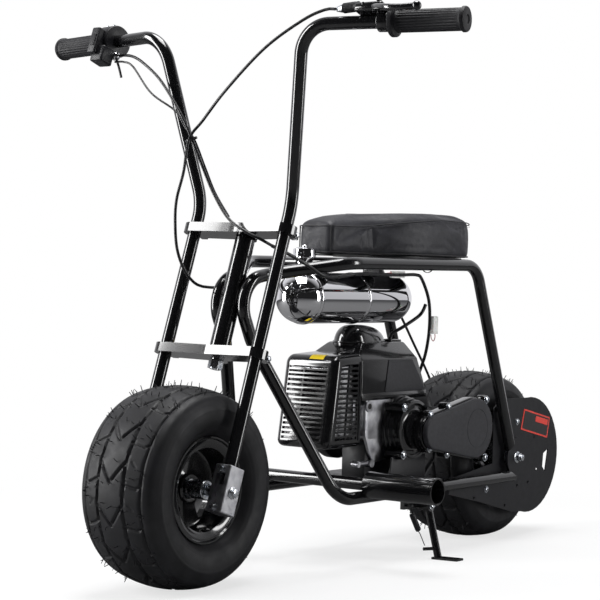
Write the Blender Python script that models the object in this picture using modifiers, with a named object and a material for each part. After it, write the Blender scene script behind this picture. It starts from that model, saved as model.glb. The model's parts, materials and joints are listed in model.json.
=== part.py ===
"""Minibike with one-piece fork and handlebar tubes, a twin-loop tube frame and a small two-stroke engine.

Metres, +Z up. The front of the bike points to -Y and its left side, with the side stand, to +X.
Everything is laid out on an upright bike whose ground plane is z = 0 under the empty "bike".
That empty then leans the whole bike onto its side stand.
"""
import math

import bmesh
import bpy
from mathutils import Euler, Matrix, Vector

# Driving dimensions
GAP = 0.0003                 # between pieces that touch
LEAN = math.radians(1.75)    # of the parked bike towards its side stand

WHEELBASE = 0.891
TYRE_RADIUS = 0.165
TYRE_WIDTH = 0.160
CROWN_RADIUS = 0.20          # of the tread across the tyre
TREAD_HALF = 0.056           # from the middle of the tread to its shoulder
TYRE_STEPS = 40
RIM_STEPS = 20
RIM_RADIUS = 0.0875          # over the rim's flanges
RIM_BARREL = 0.0700
RIM_HALF = 0.0600            # between the tyre's beads, from the middle
RIM_FLANGE = 0.0035
RIM_WALL = 0.0030
HUB_RADIUS = 0.0240
HUB_HALF = 0.0480
AXLE_RADIUS = 0.0060
AXLE_BORE_GAP = 0.0004
WEB_PLACE = 0.012            # of the wheel's web, from the middle towards the left
WEB_WALL = 0.006
WINDOW_COUNT = 4
WINDOW_CIRCLE = 0.0465

TUBE_RADIUS = 0.011          # frame and fork tubes
RAKE = math.radians(18.8)
FORK_HALF = 0.097            # from the middle to a fork tube
FORK_OFFSET = 0.020          # of the fork tubes ahead of the steering axis
HEAD_RADIUS = 0.017
LOWER_CLAMP = 0.230          # up the steering axis from the front axle
UPPER_CLAMP = 0.445
CLAMP_HEIGHT = 0.016
CLAMP_BOSS = 0.0185
STEM_RADIUS = 0.008
TUBE_FOOT = 0.010            # of the fork tubes, above the axle
BRACKET_HALF = 0.0160
BRACKET_DEPTH = 0.0185       # of an axle bracket, before and behind its fork tube
BAR_KINK = 0.494
BAR_CORNER = (0.150, -0.1615, 0.747)
BAR_END = (0.424, -0.116, 0.759)
GRIP_LENGTH = 0.128
GRIP_RADIUS = 0.0180
GRIP_FLANGE = 0.0205
GRIP_COLLAR = 0.0250          # inner flange of a grip

RAIL_HALF = 0.113            # from the middle to a frame tube behind the neck
RAIL_HEIGHT = 0.536
SILL_HEIGHT = 0.129
REAR_BEND = 0.277
NECK_HALF = HEAD_RADIUS + TUBE_RADIUS + GAP
BRIDGES = (("front_bridge", -0.060), ("middle_bridge", 0.090), ("rear_bridge", 0.215))   # name, place along the rails
BRIDGE_HEIGHT = RAIL_HEIGHT + 0.001
BRIDGE_RADIUS = 0.008

PEG_PLACE = -0.080
PEG_RADIUS = 0.0233
PEG_WALL = 0.0030
PEG_REACH = 0.266

TANK_RADIUS = 0.0455
TANK_HEIGHT = BRIDGE_HEIGHT - 0.018 - TANK_RADIUS
TANK_FRONT = -0.1225
TANK_REAR = 0.115
TANK_DOME = 0.048
CAP_RADIUS = 0.020

SEAT_FLOOR = 0.553
SEAT_NOSE = -0.088
SEAT_TAIL = 0.300
SEAT_NOSE_HALF = 0.034
SEAT_HALF = 0.110
SEAT_NOSE_TOP = 0.597
SEAT_TOP = 0.634

COWL_TOP = 0.394
COWL_HALF = 0.059
COWL_SHOULDER = 0.036
HOOD_PLACE = 0.066
HOOD_SIZE = (0.034, 0.058, 0.037)
BLOCK_FRONT = -0.016
BLOCK_TOP = 0.300
GUARD_FRONT = -0.105
GUARD_HALF = 0.058
GUARD_LOW = 0.208
GUARD_HEIGHT = 0.164
GUARD_WALL = 0.0030
LOUVRE_COUNT = 16
LOUVRE_PITCH = 0.0084
CASE_INNER = 0.0995          # of the gear case, from the middle of the bike
CASE_OUTER = 0.1175
CASE_BOLTS = (               # place, height
    (0.1228, 0.2630), (0.1840, 0.2751), (0.3197, 0.2837), (0.3189, 0.1731), (0.1823, 0.1876), (0.1218, 0.2020))
CRANK_PLACE = 0.085
CRANK_HEIGHT = 0.236
OUTPUT_PLACE = 0.272
OUTPUT_HEIGHT = 0.230
CHAIN_LINE = 0.0905          # of the chain's middle, from the middle of the bike
CHAIN_WIDTH = 0.0080
CHAIN_DEPTH = 0.0055
SPROCKET_RADIUS = 0.0600
GUARD_VENTS = (              # place, height
    (0.4754, 0.1058), (0.5178, 0.1095), (0.5525, 0.1325), (0.5395, 0.1996), (0.3119, 0.0941), (0.4281, 0.0700))
PINION_RADIUS = 0.0170

CALIPER_TURN = math.radians(107)

STAND_PIVOT = (0.130, 0.103, 0.0985)
STAND_SPLAY = math.radians(15)
STAND_RADIUS = 0.0070
FOOT_REACH = 0.046
FOOT_DEPTH = 0.022
FOOT_WALL = 0.004

CABLE_STEP = 0.018
# name: radius, route
CABLES = {
    "brake_cable_upper": (0.0025, (
        (0.2100, -0.3335, 0.9390), (0.1900, -0.3345, 0.9390), (0.1500, -0.3400, 0.9240), (0.080, -0.3480, 0.8820),
        (0.000, -0.3450, 0.8190), (-0.060, -0.3330, 0.7700), (-0.079, -0.3450, 0.7380), (-0.0686, -0.3700, 0.6808),
        (-0.0694, -0.3850, 0.6349), (-0.0672, -0.3900, 0.5964), (-0.0660, -0.3850, 0.5521), (-0.0600, -0.3720, 0.5170),
        (-0.0560, -0.3500, 0.4960), (-0.0540, -0.3306, 0.4900))),
    "brake_cable_lower": (0.0025, (
        (-0.0540, -0.3299, 0.4898), (-0.0540, -0.2900, 0.4890), (-0.0600, -0.2300, 0.4980), (-0.0780, -0.1500, 0.5080),
        (-0.0920, -0.0700, 0.5160), (-0.0930, 0.0500, 0.5170), (-0.0930, 0.1800, 0.5150), (-0.0930, 0.2600, 0.5060),
        (-0.0915, 0.3216, 0.4473), (-0.0900, 0.3751, 0.3850), (-0.0900, 0.4377, 0.3136), (-0.0900, 0.4600, 0.2700),
        (-0.0900, 0.4670, 0.2420))),
    "throttle_cable_upper": (0.0025, (
        (-0.2664, -0.3240, 0.8900), (-0.2450, -0.3265, 0.8900), (-0.2200, -0.3310, 0.8850), (-0.1900, -0.3360, 0.8700), (-0.1500, -0.3395, 0.8396),
        (-0.1050, -0.3410, 0.7850), (-0.079, -0.3380, 0.7380), (-0.0600, -0.3310, 0.6917), (-0.0350, -0.3300, 0.6463),
        (0.0000, -0.3330, 0.6050), (0.0380, -0.3330, 0.5830), (0.0600, -0.3180, 0.5700), (0.0640, -0.2955, 0.5612))),
    "throttle_cable_lower": (0.0030, (
        (0.0643, -0.2949, 0.5606), (0.0750, -0.2600, 0.5470), (0.0820, -0.2205, 0.5310), (0.0930, -0.1900, 0.5140),
        (0.0920, -0.1550, 0.5110), (0.0930, -0.1229, 0.5140), (0.0965, -0.0819, 0.5180), (0.0965, 0.0376, 0.5180), (0.0960, 0.0950, 0.5190),
        (0.0900, 0.1250, 0.5110), (0.0800, 0.1660, 0.4712), (0.0700, 0.1856, 0.4223), (0.0550, 0.1990, 0.3750),
        (0.0400, 0.2040, 0.3400), (0.0300, 0.2000, 0.3060))),
    "switch_wire_upper": (0.0018, (
        (-0.2664, -0.3300, 0.8790), (-0.2450, -0.3310, 0.8780), (-0.2200, -0.3340, 0.8680), (-0.1700, -0.3420, 0.8200), (-0.1200, -0.3350, 0.7877),
        (-0.0980, -0.3330, 0.7589), (-0.0790, -0.3315, 0.7380), (-0.0600, -0.3235, 0.6900), (-0.0380, -0.3225, 0.6480),
        (-0.0060, -0.3240, 0.6080))),
    "ignition_lead": (0.0032, (
        (0.0300, 0.1150, 0.3948), (0.0310, 0.1170, 0.4080), (0.0450, 0.1400, 0.4240), (0.0570, 0.1730, 0.4450), (0.0600, 0.1860, 0.4640))),
}
# name, low corner, high corner
CONNECTORS = (
    ("lead_connector", (0.0713, 0.1900, 0.4130), (0.0780, 0.2010, 0.4400)),
    ("rail_connector", (0.0879, 0.0220, 0.5195), (0.0934, 0.0560, 0.5300)),
)

FRONT_AXLE = Vector((0, -WHEELBASE / 2, TYRE_RADIUS))
REAR_AXLE = Vector((0, WHEELBASE / 2, TYRE_RADIUS))
SIDE = (math.pi / 2, 0, math.pi / 2)      # turns an outline drawn in x, y into bike y, z
DROPOUT_CENTRE = (REAR_AXLE.y + 0.003, REAR_AXLE.z)
DROPOUT_RADIUS = 0.039
ALONG_X = (0, math.pi / 2, 0)

# name: colour, metallic, roughness
MATERIALS = {
    "gloss_black": ((0.012, 0.012, 0.013), 0.0, 0.18),
    "satin_black": ((0.022, 0.022, 0.024), 0.0, 0.45),
    "matte_black": ((0.035, 0.035, 0.038), 0.0, 0.65),
    "rubber": ((0.020, 0.020, 0.021), 0.0, 0.75),
    "grip_rubber": ((0.028, 0.028, 0.030), 0.0, 0.60),
    "vinyl": ((0.045, 0.045, 0.050), 0.0, 0.50),
    "chrome": ((0.80, 0.80, 0.82), 1.0, 0.06),
    "cast_silver": ((0.62, 0.62, 0.64), 1.0, 0.38),
    "zinc": ((0.72, 0.72, 0.74), 1.0, 0.28),
    "cable_black": ((0.015, 0.015, 0.016), 0.0, 0.40),
    "white_plastic": ((0.80, 0.80, 0.78), 0.0, 0.45),
}


def make_material(name):
    colour, metallic, roughness = MATERIALS[name]
    material = bpy.data.materials.new(name)
    material.use_nodes = True
    shader = material.node_tree.nodes["Principled BSDF"]
    shader.inputs["Base Color"].default_value = (*colour, 1)
    shader.inputs["Metallic"].default_value = metallic
    shader.inputs["Roughness"].default_value = roughness
    material.diffuse_color = (*colour, 1)
    return material


def clear_scene():
    for thing in list(bpy.data.objects):
        bpy.data.objects.remove(thing, do_unlink=True)


def new_collection(name):
    collection = bpy.data.collections.new(name)
    bpy.context.scene.collection.children.link(collection)
    return collection


clear_scene()
PARTS = new_collection("minibike")
TOOLS = new_collection("cutters")
FINISH = {name: make_material(name) for name in MATERIALS}


def empty(name, parent=None, location=(0, 0, 0), rotation=(0, 0, 0)):
    thing = bpy.data.objects.new(name, None)
    PARTS.objects.link(thing)
    thing.parent = parent
    thing.location = location
    thing.rotation_euler = rotation
    return thing


def place(name, data, parent, finish, location=(0, 0, 0), rotation=(0, 0, 0)):
    """A new object. Without a finish it is a tool that only shapes other pieces."""
    thing = bpy.data.objects.new(name, data)
    thing.parent = parent
    thing.location = location
    thing.rotation_euler = rotation
    if finish:
        PARTS.objects.link(thing)
        data.materials.append(FINISH[finish])
    else:
        TOOLS.objects.link(thing)
        thing.hide_render = True
        thing.display_type = "WIRE"
    return thing


def mesh_from(name, build):
    shape = bmesh.new()
    build(shape)
    mesh = bpy.data.meshes.new(name)
    shape.to_mesh(mesh)
    shape.free()
    return mesh


def box(name, low, high, parent, finish=None, bevel=0.0, rotation=(0, 0, 0)):
    low, high = Vector(low), Vector(high)
    size = high - low

    def build(shape):
        bmesh.ops.create_cube(shape, size=1)
        bmesh.ops.scale(shape, vec=size, verts=shape.verts)

    thing = place(name, mesh_from(name, build), parent, finish, (low + high) / 2, rotation)
    if bevel:
        round_edges(thing, bevel)
    return thing


def round_edges(thing, width, segments=2):
    edge = thing.modifiers.new("edges", "BEVEL")
    edge.width = width
    edge.segments = segments
    edge.limit_method = "ANGLE"
    edge.angle_limit = math.radians(40)


def rod(name, centre, length, radius, parent, finish=None, rotation=ALONG_X, sides=24):
    def build(shape):
        bmesh.ops.create_cone(
            shape, cap_ends=True, segments=sides, radius1=radius, radius2=radius, depth=length)

    thing = place(name, mesh_from(name, build), parent, finish, centre, rotation)
    thing.data.shade_smooth()
    thing.data.set_sharp_from_angle(angle=math.radians(40))
    return thing


def rod_between(name, start, end, radius, parent, finish=None, sides=16):
    start, end = Vector(start), Vector(end)
    turn = (end - start).to_track_quat("Z", "Y").to_euler()
    return rod(name, (start + end) / 2, (end - start).length, radius, parent, finish, turn, sides)


def rounded(corners, steps=5):
    """A path through corners, each (point, bend radius), with its bends as arcs."""
    points = [Vector(corners[0][0])]
    for before, (corner, radius), after in zip(corners, corners[1:], corners[2:]):
        corner = Vector(corner)
        back = (Vector(before[0]) - corner).normalized()
        ahead = (Vector(after[0]) - corner).normalized()
        half = back.angle(ahead) / 2
        if radius <= 0:
            points.append(corner)
            continue
        bisector = (back + ahead).normalized()
        centre = corner + bisector * (radius / math.sin(half))
        first = corner + back * (radius / math.tan(half)) - centre
        last = corner + ahead * (radius / math.tan(half)) - centre
        sweep = first.angle(last)
        for step in range(steps + 1):
            share = step / steps
            points.append(centre + (
                first * math.sin((1 - share) * sweep) + last * math.sin(share * sweep)
            ) / math.sin(sweep))
    points.append(Vector(corners[-1][0]))
    return points


def ring_outline(corners, steps=5):
    """The same for a closed outline: every corner is rounded."""
    closed = [corners[-1], *corners, corners[0]]
    return rounded(closed, steps)[1:-1]


def tube(name, points, radius, parent, finish, resolution=3):
    """A tube is a curve with a bevel and closed ends."""
    curve = bpy.data.curves.new(name, "CURVE")
    curve.dimensions = "3D"
    curve.bevel_depth = radius
    curve.bevel_resolution = resolution
    curve.use_fill_caps = True
    line = curve.splines.new("POLY")
    line.points.add(len(points) - 1)
    for point, target in zip(line.points, points):
        point.co = (*target, 1)
    return place(name, curve, parent, finish)


def as_mesh(thing):
    """Turns a curve object into a mesh object, so that it can be cut or joined."""
    bpy.context.view_layer.update()
    evaluated = thing.evaluated_get(bpy.context.evaluated_depsgraph_get())
    mesh = bpy.data.meshes.new_from_object(evaluated)
    shape = bmesh.new()
    shape.from_mesh(mesh)
    bmesh.ops.remove_doubles(shape, verts=shape.verts, dist=0.00001)
    shape.to_mesh(mesh)
    shape.free()
    name, parent, place_in = thing.name, thing.parent, thing.matrix_world.copy()
    collections = list(thing.users_collection)
    wire = thing.display_type == "WIRE"
    bpy.data.objects.remove(thing, do_unlink=True)
    solid = bpy.data.objects.new(name, mesh)
    for collection in collections:
        collection.objects.link(solid)
    solid.parent = parent
    solid.matrix_world = place_in
    if wire:
        solid.hide_render = True
        solid.display_type = "WIRE"
    return solid


def plate(name, outline, thickness, parent, finish=None, location=(0, 0, 0), rotation=SIDE, holes=()):
    """A flat piece: a filled outline, and its holes, extruded by half its thickness each way."""
    curve = bpy.data.curves.new(name, "CURVE")
    curve.dimensions = "2D"
    curve.fill_mode = "BOTH"
    curve.extrude = thickness / 2
    for ring in (outline, *holes):
        line = curve.splines.new("POLY")
        line.use_cyclic_u = True
        line.points.add(len(ring) - 1)
        for point, target in zip(line.points, ring):
            point.co = (target[0], target[1], 0, 1)
    return as_mesh(place(name, curve, parent, finish, location, rotation))


def circle(centre, radius, sides=24, start=0.0, end=2 * math.pi):
    whole = abs(end - start) > 2 * math.pi - 0.001
    count = sides if whole else sides + 1
    return [
        (centre[0] + radius * math.cos(start + (end - start) * step / sides),
         centre[1] + radius * math.sin(start + (end - start) * step / sides))
        for step in range(count)]


def lathe(name, profile, parent, finish, closed=True, steps=48, location=(0, 0, 0), rotation=ALONG_X, start=0.0):
    """A turned piece. Its profile is (radius, height) points that run down the outer side."""
    ahead, aside = math.cos(start), math.sin(start)
    mesh = bpy.data.meshes.new(name)
    edges = [(step, step + 1) for step in range(len(profile) - 1)]
    if closed:
        edges.append((len(profile) - 1, 0))
    mesh.from_pydata([(radius * ahead, radius * aside, height) for radius, height in profile], edges, [])
    thing = place(name, mesh, parent, finish, location, rotation)
    turn = thing.modifiers.new("turn", "SCREW")
    turn.steps = steps
    turn.render_steps = steps
    turn.use_merge_vertices = True
    turn.merge_threshold = 0.00001
    turn.use_smooth_shade = True
    return thing


def combine(thing, tool, operation):
    step = thing.modifiers.new(tool.name, "BOOLEAN")
    step.operation = operation
    step.object = tool
    step.solver = "EXACT"


def join(thing, *tools):
    for tool in tools:
        combine(thing, tool, "UNION")
    return thing


def cut(thing, *tools):
    for tool in tools:
        combine(thing, tool, "DIFFERENCE")
    return thing


def tyre_profile():
    """From the left bead over the tread to the right bead, as (radius, height)."""
    half = []
    for share in (0.0, 0.5, 1.0):
        across = TREAD_HALF * share
        half.append((TYRE_RADIUS - across * across / (2 * CROWN_RADIUS), across))
    edge_radius, edge = half[-1]
    side = TYRE_WIDTH / 2
    half += [
        (edge_radius - 0.006, edge + 0.014),
        (edge_radius - 0.022, side - 0.002),
        (RIM_RADIUS + 0.030, side),
        (RIM_RADIUS + 0.010, side - 0.007),
        (RIM_RADIUS + 0.004, RIM_HALF + RIM_FLANGE),
        (RIM_RADIUS + GAP, RIM_HALF),
        (RIM_BARREL + GAP, RIM_HALF - GAP),
    ]
    return [(radius, height) for radius, height in reversed(half)] + [
        (radius, -height) for radius, height in half[1:]]


def ground_drop():
    """How far the leaning bike comes down until its tyres touch the floor."""
    facet = math.cos(math.pi / TYRE_STEPS)
    return min(
        (TYRE_RADIUS - radius * facet) * math.cos(LEAN) - height * math.sin(LEAN)
        for radius, height in tyre_profile())


def ground_height(across):
    """Height of the floor beside the upright bike's middle plane."""
    return across * math.tan(LEAN) + ground_drop() / math.cos(LEAN)


# The empties that carry the bodies
BIKE = empty("bike", None, (0, 0, -ground_drop()), (0, LEAN, 0))
STEERING = empty(
    "steering_axis", BIKE,
    FRONT_AXLE + FORK_OFFSET * Vector((0, math.cos(RAKE), -math.sin(RAKE))), (-RAKE, 0, 0))
FRONT_WHEEL = empty("front_wheel_axis", STEERING, (0, -FORK_OFFSET, 0))
REAR_WHEEL = empty("rear_wheel_axis", BIKE, REAR_AXLE)
STAND = empty("side_stand_axis", BIKE, STAND_PIVOT, (0, -STAND_SPLAY, 0))


def wheel(prefix, parent, tilt=0.0):
    """Tyre and rim. The rim is one turned section, with windows cut through its web.

    tilt turns the tyre's facets so that a flat one lies on the floor.
    """
    lathe(prefix + "_tyre", tyre_profile(), parent, "rubber", steps=TYRE_STEPS,
          start=math.pi / TYRE_STEPS + tilt)
    bore = AXLE_RADIUS + AXLE_BORE_GAP
    inner = RIM_BARREL - RIM_WALL
    web = (WEB_PLACE + WEB_WALL / 2, WEB_PLACE - WEB_WALL / 2)
    flange = RIM_HALF + RIM_FLANGE
    left = [
        (bore, HUB_HALF), (HUB_RADIUS, HUB_HALF), (HUB_RADIUS + 0.003, web[0] + 0.004),
        (inner - 0.006, web[0] + 0.002), (inner, web[0] + 0.010), (inner, flange - 0.004),
        (RIM_BARREL, flange), (RIM_RADIUS, flange), (RIM_RADIUS, RIM_HALF + GAP),
        (RIM_BARREL, RIM_HALF + GAP),
    ]
    right = [
        (RIM_BARREL, -RIM_HALF - GAP), (RIM_RADIUS, -RIM_HALF - GAP), (RIM_RADIUS, -flange),
        (RIM_BARREL, -flange), (inner, -flange + 0.004), (inner, web[1] - 0.010), (inner - 0.006, web[1] - 0.002),
        (HUB_RADIUS + 0.003, web[1] - 0.004), (HUB_RADIUS, -HUB_HALF), (bore, -HUB_HALF),
    ]
    rim = lathe(prefix + "_rim", left + right, parent, "satin_black", steps=RIM_STEPS)
    for count in range(WINDOW_COUNT):
        angle = 2 * math.pi * (count + 0.79) / WINDOW_COUNT
        turn = (Matrix.Rotation(angle, 3, "X") @ Euler(SIDE).to_matrix()).to_euler()
        outline = ring_outline([
            ((WINDOW_CIRCLE + 0.014, -0.023, 0), 0.005), ((WINDOW_CIRCLE + 0.014, 0.023, 0), 0.005),
            ((WINDOW_CIRCLE - 0.012, 0.009, 0), 0.005), ((WINDOW_CIRCLE - 0.012, -0.009, 0), 0.005),
        ], 3)
        window = plate(f"{prefix}_window_{count}", outline, 0.06, parent,
                       location=(WEB_PLACE, 0, 0), rotation=tuple(turn))
        cut(rim, window)
    return rim


def clamp_outline(reach, waist, boss):
    """One half of a fork clamp seen along the steering axis, mirrored to the other half."""
    right = circle((reach, -FORK_OFFSET), boss, 10, -math.pi / 2, math.pi / 2)
    left = circle((-reach, -FORK_OFFSET), boss, 10, math.pi / 2, 3 * math.pi / 2)
    middle_back = circle((0, 0), waist, 8, 0.2, math.pi - 0.2)
    return [(0, -FORK_OFFSET - boss * 0.8)] + right + middle_back + left


def fork():
    """Everything that turns with the handlebar, in the frame of the steering axis."""
    for side, sign in (("left", 1), ("right", -1)):
        bar = rounded([
            ((sign * FORK_HALF, -FORK_OFFSET, TUBE_FOOT), 0),
            ((sign * FORK_HALF, -FORK_OFFSET, BAR_KINK), 0.10),
            ((sign * BAR_CORNER[0], BAR_CORNER[1], BAR_CORNER[2]), 0.055),
            ((sign * BAR_END[0], BAR_END[1], BAR_END[2]), 0)], 6)
        tube(side + "_fork_tube", bar, TUBE_RADIUS, STEERING, "gloss_black", 3)
        grip(side, sign, bar)
        axle_bracket(side, sign)

    tube_hole = TUBE_RADIUS + GAP
    for name, height in (("lower_clamp", LOWER_CLAMP), ("upper_clamp", UPPER_CLAMP)):
        clamp = plate(
            name, clamp_outline(FORK_HALF, 0.020, CLAMP_BOSS), CLAMP_HEIGHT, STEERING, "gloss_black",
            (0, 0, height), (0, 0, 0),
            [circle((sign * FORK_HALF, -FORK_OFFSET), tube_hole, 24) for sign in (-1, 1)]
            + [circle((0, 0), STEM_RADIUS + GAP, 20)])
        for side, sign in (("left", 1), ("right", -1)):
            ear = box(f"{name}_{side}_ear",
                      (sign * FORK_HALF - 0.006, -FORK_OFFSET + tube_hole + 0.002, height - 0.006),
                      (sign * FORK_HALF + 0.006, -FORK_OFFSET + CLAMP_BOSS + 0.012, height + 0.006),
                      STEERING)
            join(clamp, ear)

    stem_low = LOWER_CLAMP - CLAMP_HEIGHT / 2 - 0.016
    stem_high = UPPER_CLAMP + CLAMP_HEIGHT / 2 + 0.010
    stem = rod("steering_stem", (0, 0, (stem_low + stem_high) / 2), stem_high - stem_low, STEM_RADIUS,
               STEERING, "zinc", (0, 0, 0), 20)
    for name, low, high in (
            ("stem_lower_nut", stem_low, LOWER_CLAMP - CLAMP_HEIGHT / 2 - GAP),
            ("stem_upper_nut", UPPER_CLAMP + CLAMP_HEIGHT / 2 + GAP, stem_high)):
        join(stem, rod(name, (0, 0, (low + high) / 2), high - low - 0.002, 0.0125, STEERING, None,
                       (0, 0, 0), 6))

    axle = rod("front_axle", (0, 0, 0), 2 * (FORK_HALF + 0.020), AXLE_RADIUS, FRONT_WHEEL, "zinc")
    axle.parent = STEERING
    axle.location = (0, -FORK_OFFSET, 0)
    for sign in (-1, 1):
        inner = HUB_HALF + 0.001
        outer = FORK_HALF - 0.0165 - GAP
        spacer = rod(f"front_spacer_{sign}", (sign * (inner + outer) / 2, -FORK_OFFSET, 0),
                     outer - inner, 0.0095, STEERING)
        join(axle, spacer)


def grip(side, sign, bar):
    """A ribbed rubber grip over the end of the bar, closed at its outer end."""
    end, before = bar[-1], bar[-2]
    outward = (end - before).normalized()
    start = end + outward * 0.008
    turn = outward.to_track_quat("Z", "Y").to_euler()
    bore = TUBE_RADIUS + GAP
    profile = [
        (0, 0.0), (GRIP_FLANGE - 0.002, 0.0), (GRIP_FLANGE, -0.002), (GRIP_FLANGE, -0.006),
        (GRIP_RADIUS, -0.009), (GRIP_RADIUS, -GRIP_LENGTH + 0.010),
        (GRIP_COLLAR, -GRIP_LENGTH + 0.007), (GRIP_COLLAR, -GRIP_LENGTH), (bore, -GRIP_LENGTH),
        (bore, -0.008 + GAP), (0, -0.008 + GAP),
    ]
    lathe(side + "_grip", profile, STEERING, "grip_rubber", closed=False, steps=16,
          location=start, rotation=turn)


def axle_bracket(side, sign):
    """Cast bracket that clamps the foot of the fork tube and carries the axle.

    A pocket in its front shows the tube between the two clamp bolts.
    """
    x = sign * FORK_HALF
    low, high = -0.036, 0.042
    bracket = box(side + "_axle_bracket",
                  (x - BRACKET_HALF, -FORK_OFFSET - BRACKET_DEPTH, low),
                  (x + BRACKET_HALF, -FORK_OFFSET + BRACKET_DEPTH, high),
                  STEERING, "cast_silver", 0.002)
    cut(bracket,
        rod_between(side + "_bracket_tube_hole", (x, -FORK_OFFSET, TUBE_FOOT - GAP), (x, -FORK_OFFSET, 0.1),
                    TUBE_RADIUS + GAP, STEERING, None, 24),
        rod(side + "_bracket_axle_hole", (x, -FORK_OFFSET, 0), 0.05, AXLE_RADIUS + GAP, STEERING),
        box(side + "_bracket_pocket", (x - 0.0095, -FORK_OFFSET - BRACKET_DEPTH - 0.01, low + 0.014),
            (x + 0.0085, -FORK_OFFSET - BRACKET_DEPTH + 0.011, high - 0.014), STEERING))


def loop_path(sign):
    """Centre line of one frame loop from the rear strut over the rail and neck to the sill."""
    return [
        ((sign * RAIL_HALF, REAR_AXLE.y - 0.020, REAR_AXLE.z + 0.010), 0),
        ((sign * RAIL_HALF, REAR_BEND, RAIL_HEIGHT + 0.004), 0.035),
        ((sign * RAIL_HALF, -0.135, RAIL_HEIGHT), 0.08),
        ((sign * NECK_HALF, -0.262, 0.5125), 0.045),
        ((sign * NECK_HALF, -0.3477, 0.4967), 0.050),
        ((sign * NECK_HALF, -0.2983, 0.401), 0.05),
        ((sign * RAIL_HALF, -0.157, SILL_HEIGHT), 0.065),
        ((sign * RAIL_HALF, REAR_AXLE.y - 0.012, SILL_HEIGHT), 0),
    ]


def frame():
    for side, sign in (("left", 1), ("right", -1)):
        path = loop_path(sign)
        seam = Vector(path[4][0]).lerp(Vector(path[5][0]), 0.78)
        ahead = (Vector(path[5][0]) - Vector(path[4][0])).normalized()
        upper = rounded(path[:5] + [(seam, 0)], 5)
        lower = rounded([(seam + ahead * GAP, 0)] + path[5:], 5)
        for name, line in ((side + "_upper_loop", upper), (side + "_lower_loop", lower)):
            loop = as_mesh(tube(name, line, TUBE_RADIUS, BIKE, "gloss_black", 3))
            cut(loop, rod(name + "_mouth", (sign * RAIL_HALF, *DROPOUT_CENTRE), 0.03, DROPOUT_RADIUS + GAP,
                          BIKE, sides=36))
        dropout(side, sign)

    low = LOWER_CLAMP + CLAMP_HEIGHT / 2 + 0.001
    high = UPPER_CLAMP - CLAMP_HEIGHT / 2 - 0.001
    ring = [(HEAD_RADIUS, (high - low) / 2), (HEAD_RADIUS, (low - high) / 2),
            (STEM_RADIUS + 0.0006, (low - high) / 2), (STEM_RADIUS + 0.0006, (high - low) / 2)]
    lathe("head_tube", ring, BIKE, "gloss_black", steps=32,
          location=STEERING.location + Vector((0, math.sin(RAKE), math.cos(RAKE))) * (low + high) / 2,
          rotation=(-RAKE, 0, 0))

    for name, y in BRIDGES:
        bridge = rod(name, (0, y, BRIDGE_HEIGHT), 2 * (RAIL_HALF - TUBE_RADIUS - GAP), BRIDGE_RADIUS, BIKE,
                     "gloss_black", sides=16)
        if y < TANK_REAR:
            join(bridge, box(name + "_tank_pad", (-0.012, y - 0.009, TANK_HEIGHT + TANK_RADIUS + GAP),
                             (0.012, y + 0.009, BRIDGE_HEIGHT), BIKE))


def dropout(side, sign):
    """Round plate that ties strut and sill together and holds the rear axle."""
    arm = plate(side + "_dropout", circle(DROPOUT_CENTRE, DROPOUT_RADIUS, 36), 0.005, BIKE, "satin_black",
                (sign * RAIL_HALF, 0, 0))
    cut(arm, rod(side + "_dropout_hole", (sign * RAIL_HALF, REAR_AXLE.y, REAR_AXLE.z), 0.02,
                 AXLE_RADIUS + GAP, BIKE))


def pegs():
    """Transverse bar on the sills, with a wide sleeve on each end for the feet."""
    height = SILL_HEIGHT + 2 * TUBE_RADIUS + GAP
    inner = RAIL_HALF + TUBE_RADIUS + GAP
    bar = rod("foot_peg_bar", (0, PEG_PLACE, height), 2 * inner + 0.002, TUBE_RADIUS, BIKE, "gloss_black")
    for side, sign in (("left", 1), ("right", -1)):
        length = PEG_REACH - inner
        middle = (sign * (inner + length / 2), PEG_PLACE, height)
        sleeve = rod(side + "_peg_sleeve", middle, length, PEG_RADIUS, BIKE, None, sides=24)
        bore = rod(side + "_peg_bore", (sign * (inner + 0.004 + length / 2), PEG_PLACE, height),
                   length, PEG_RADIUS - PEG_WALL, BIKE, None, sides=24)
        join(bar, sleeve)
        cut(bar, bore)


def seat():
    """Cushion as one block with a narrow nose and a broad tail, on a flat pan and two brackets."""
    flare = [((0.045, 0.02), 0.05), ((0.098, 0.085), 0.05)]
    half = [((SEAT_NOSE_HALF, SEAT_NOSE), 0.008)] + flare + [
        ((SEAT_HALF, 0.14), 0.06), ((SEAT_HALF, SEAT_TAIL), 0.045)]
    corners = [((x, y, 0), radius) for (x, y), radius in half]
    corners += [((-x, y, 0), radius) for (x, y), radius in reversed(half)]
    outline = ring_outline(corners, 4)
    height = SEAT_TOP - SEAT_FLOOR
    cushion = plate("seat_cushion", outline, height, BIKE, "vinyl",
                    (0, 0, SEAT_FLOOR + height / 2), (0, 0, 0))
    slope = math.atan((SEAT_TOP - SEAT_NOSE_TOP) / 0.16)
    top = box("seat_slope", (-0.2, -0.25, -0.05), (0.2, 0.25, 0.05), BIKE, rotation=(slope, 0, 0))
    top.location = (0, SEAT_NOSE - 0.05 * math.sin(slope), SEAT_NOSE_TOP + 0.05 * math.cos(slope))
    cut(cushion, top)
    round_edges(cushion, 0.008, 2)

    pan = plate("seat_pan", ring_outline(
        [((point[0] * 0.86, point[1] * 0.93 + 0.006, 0), radius) for point, radius in corners], 3),
        0.003, BIKE, "satin_black", (0, 0, SEAT_FLOOR - GAP - 0.0015), (0, 0, 0))
    for name, y in BRIDGES:
        if y > SEAT_NOSE + 0.05:
            half = 0.080 if y > 0.1 else 0.024
            foot = box(name + "_seat_foot", (-half, y - 0.012, BRIDGE_HEIGHT + BRIDGE_RADIUS + GAP),
                       (half, y + 0.012, SEAT_FLOOR - 0.0025), BIKE)
            join(pan, foot)


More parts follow.
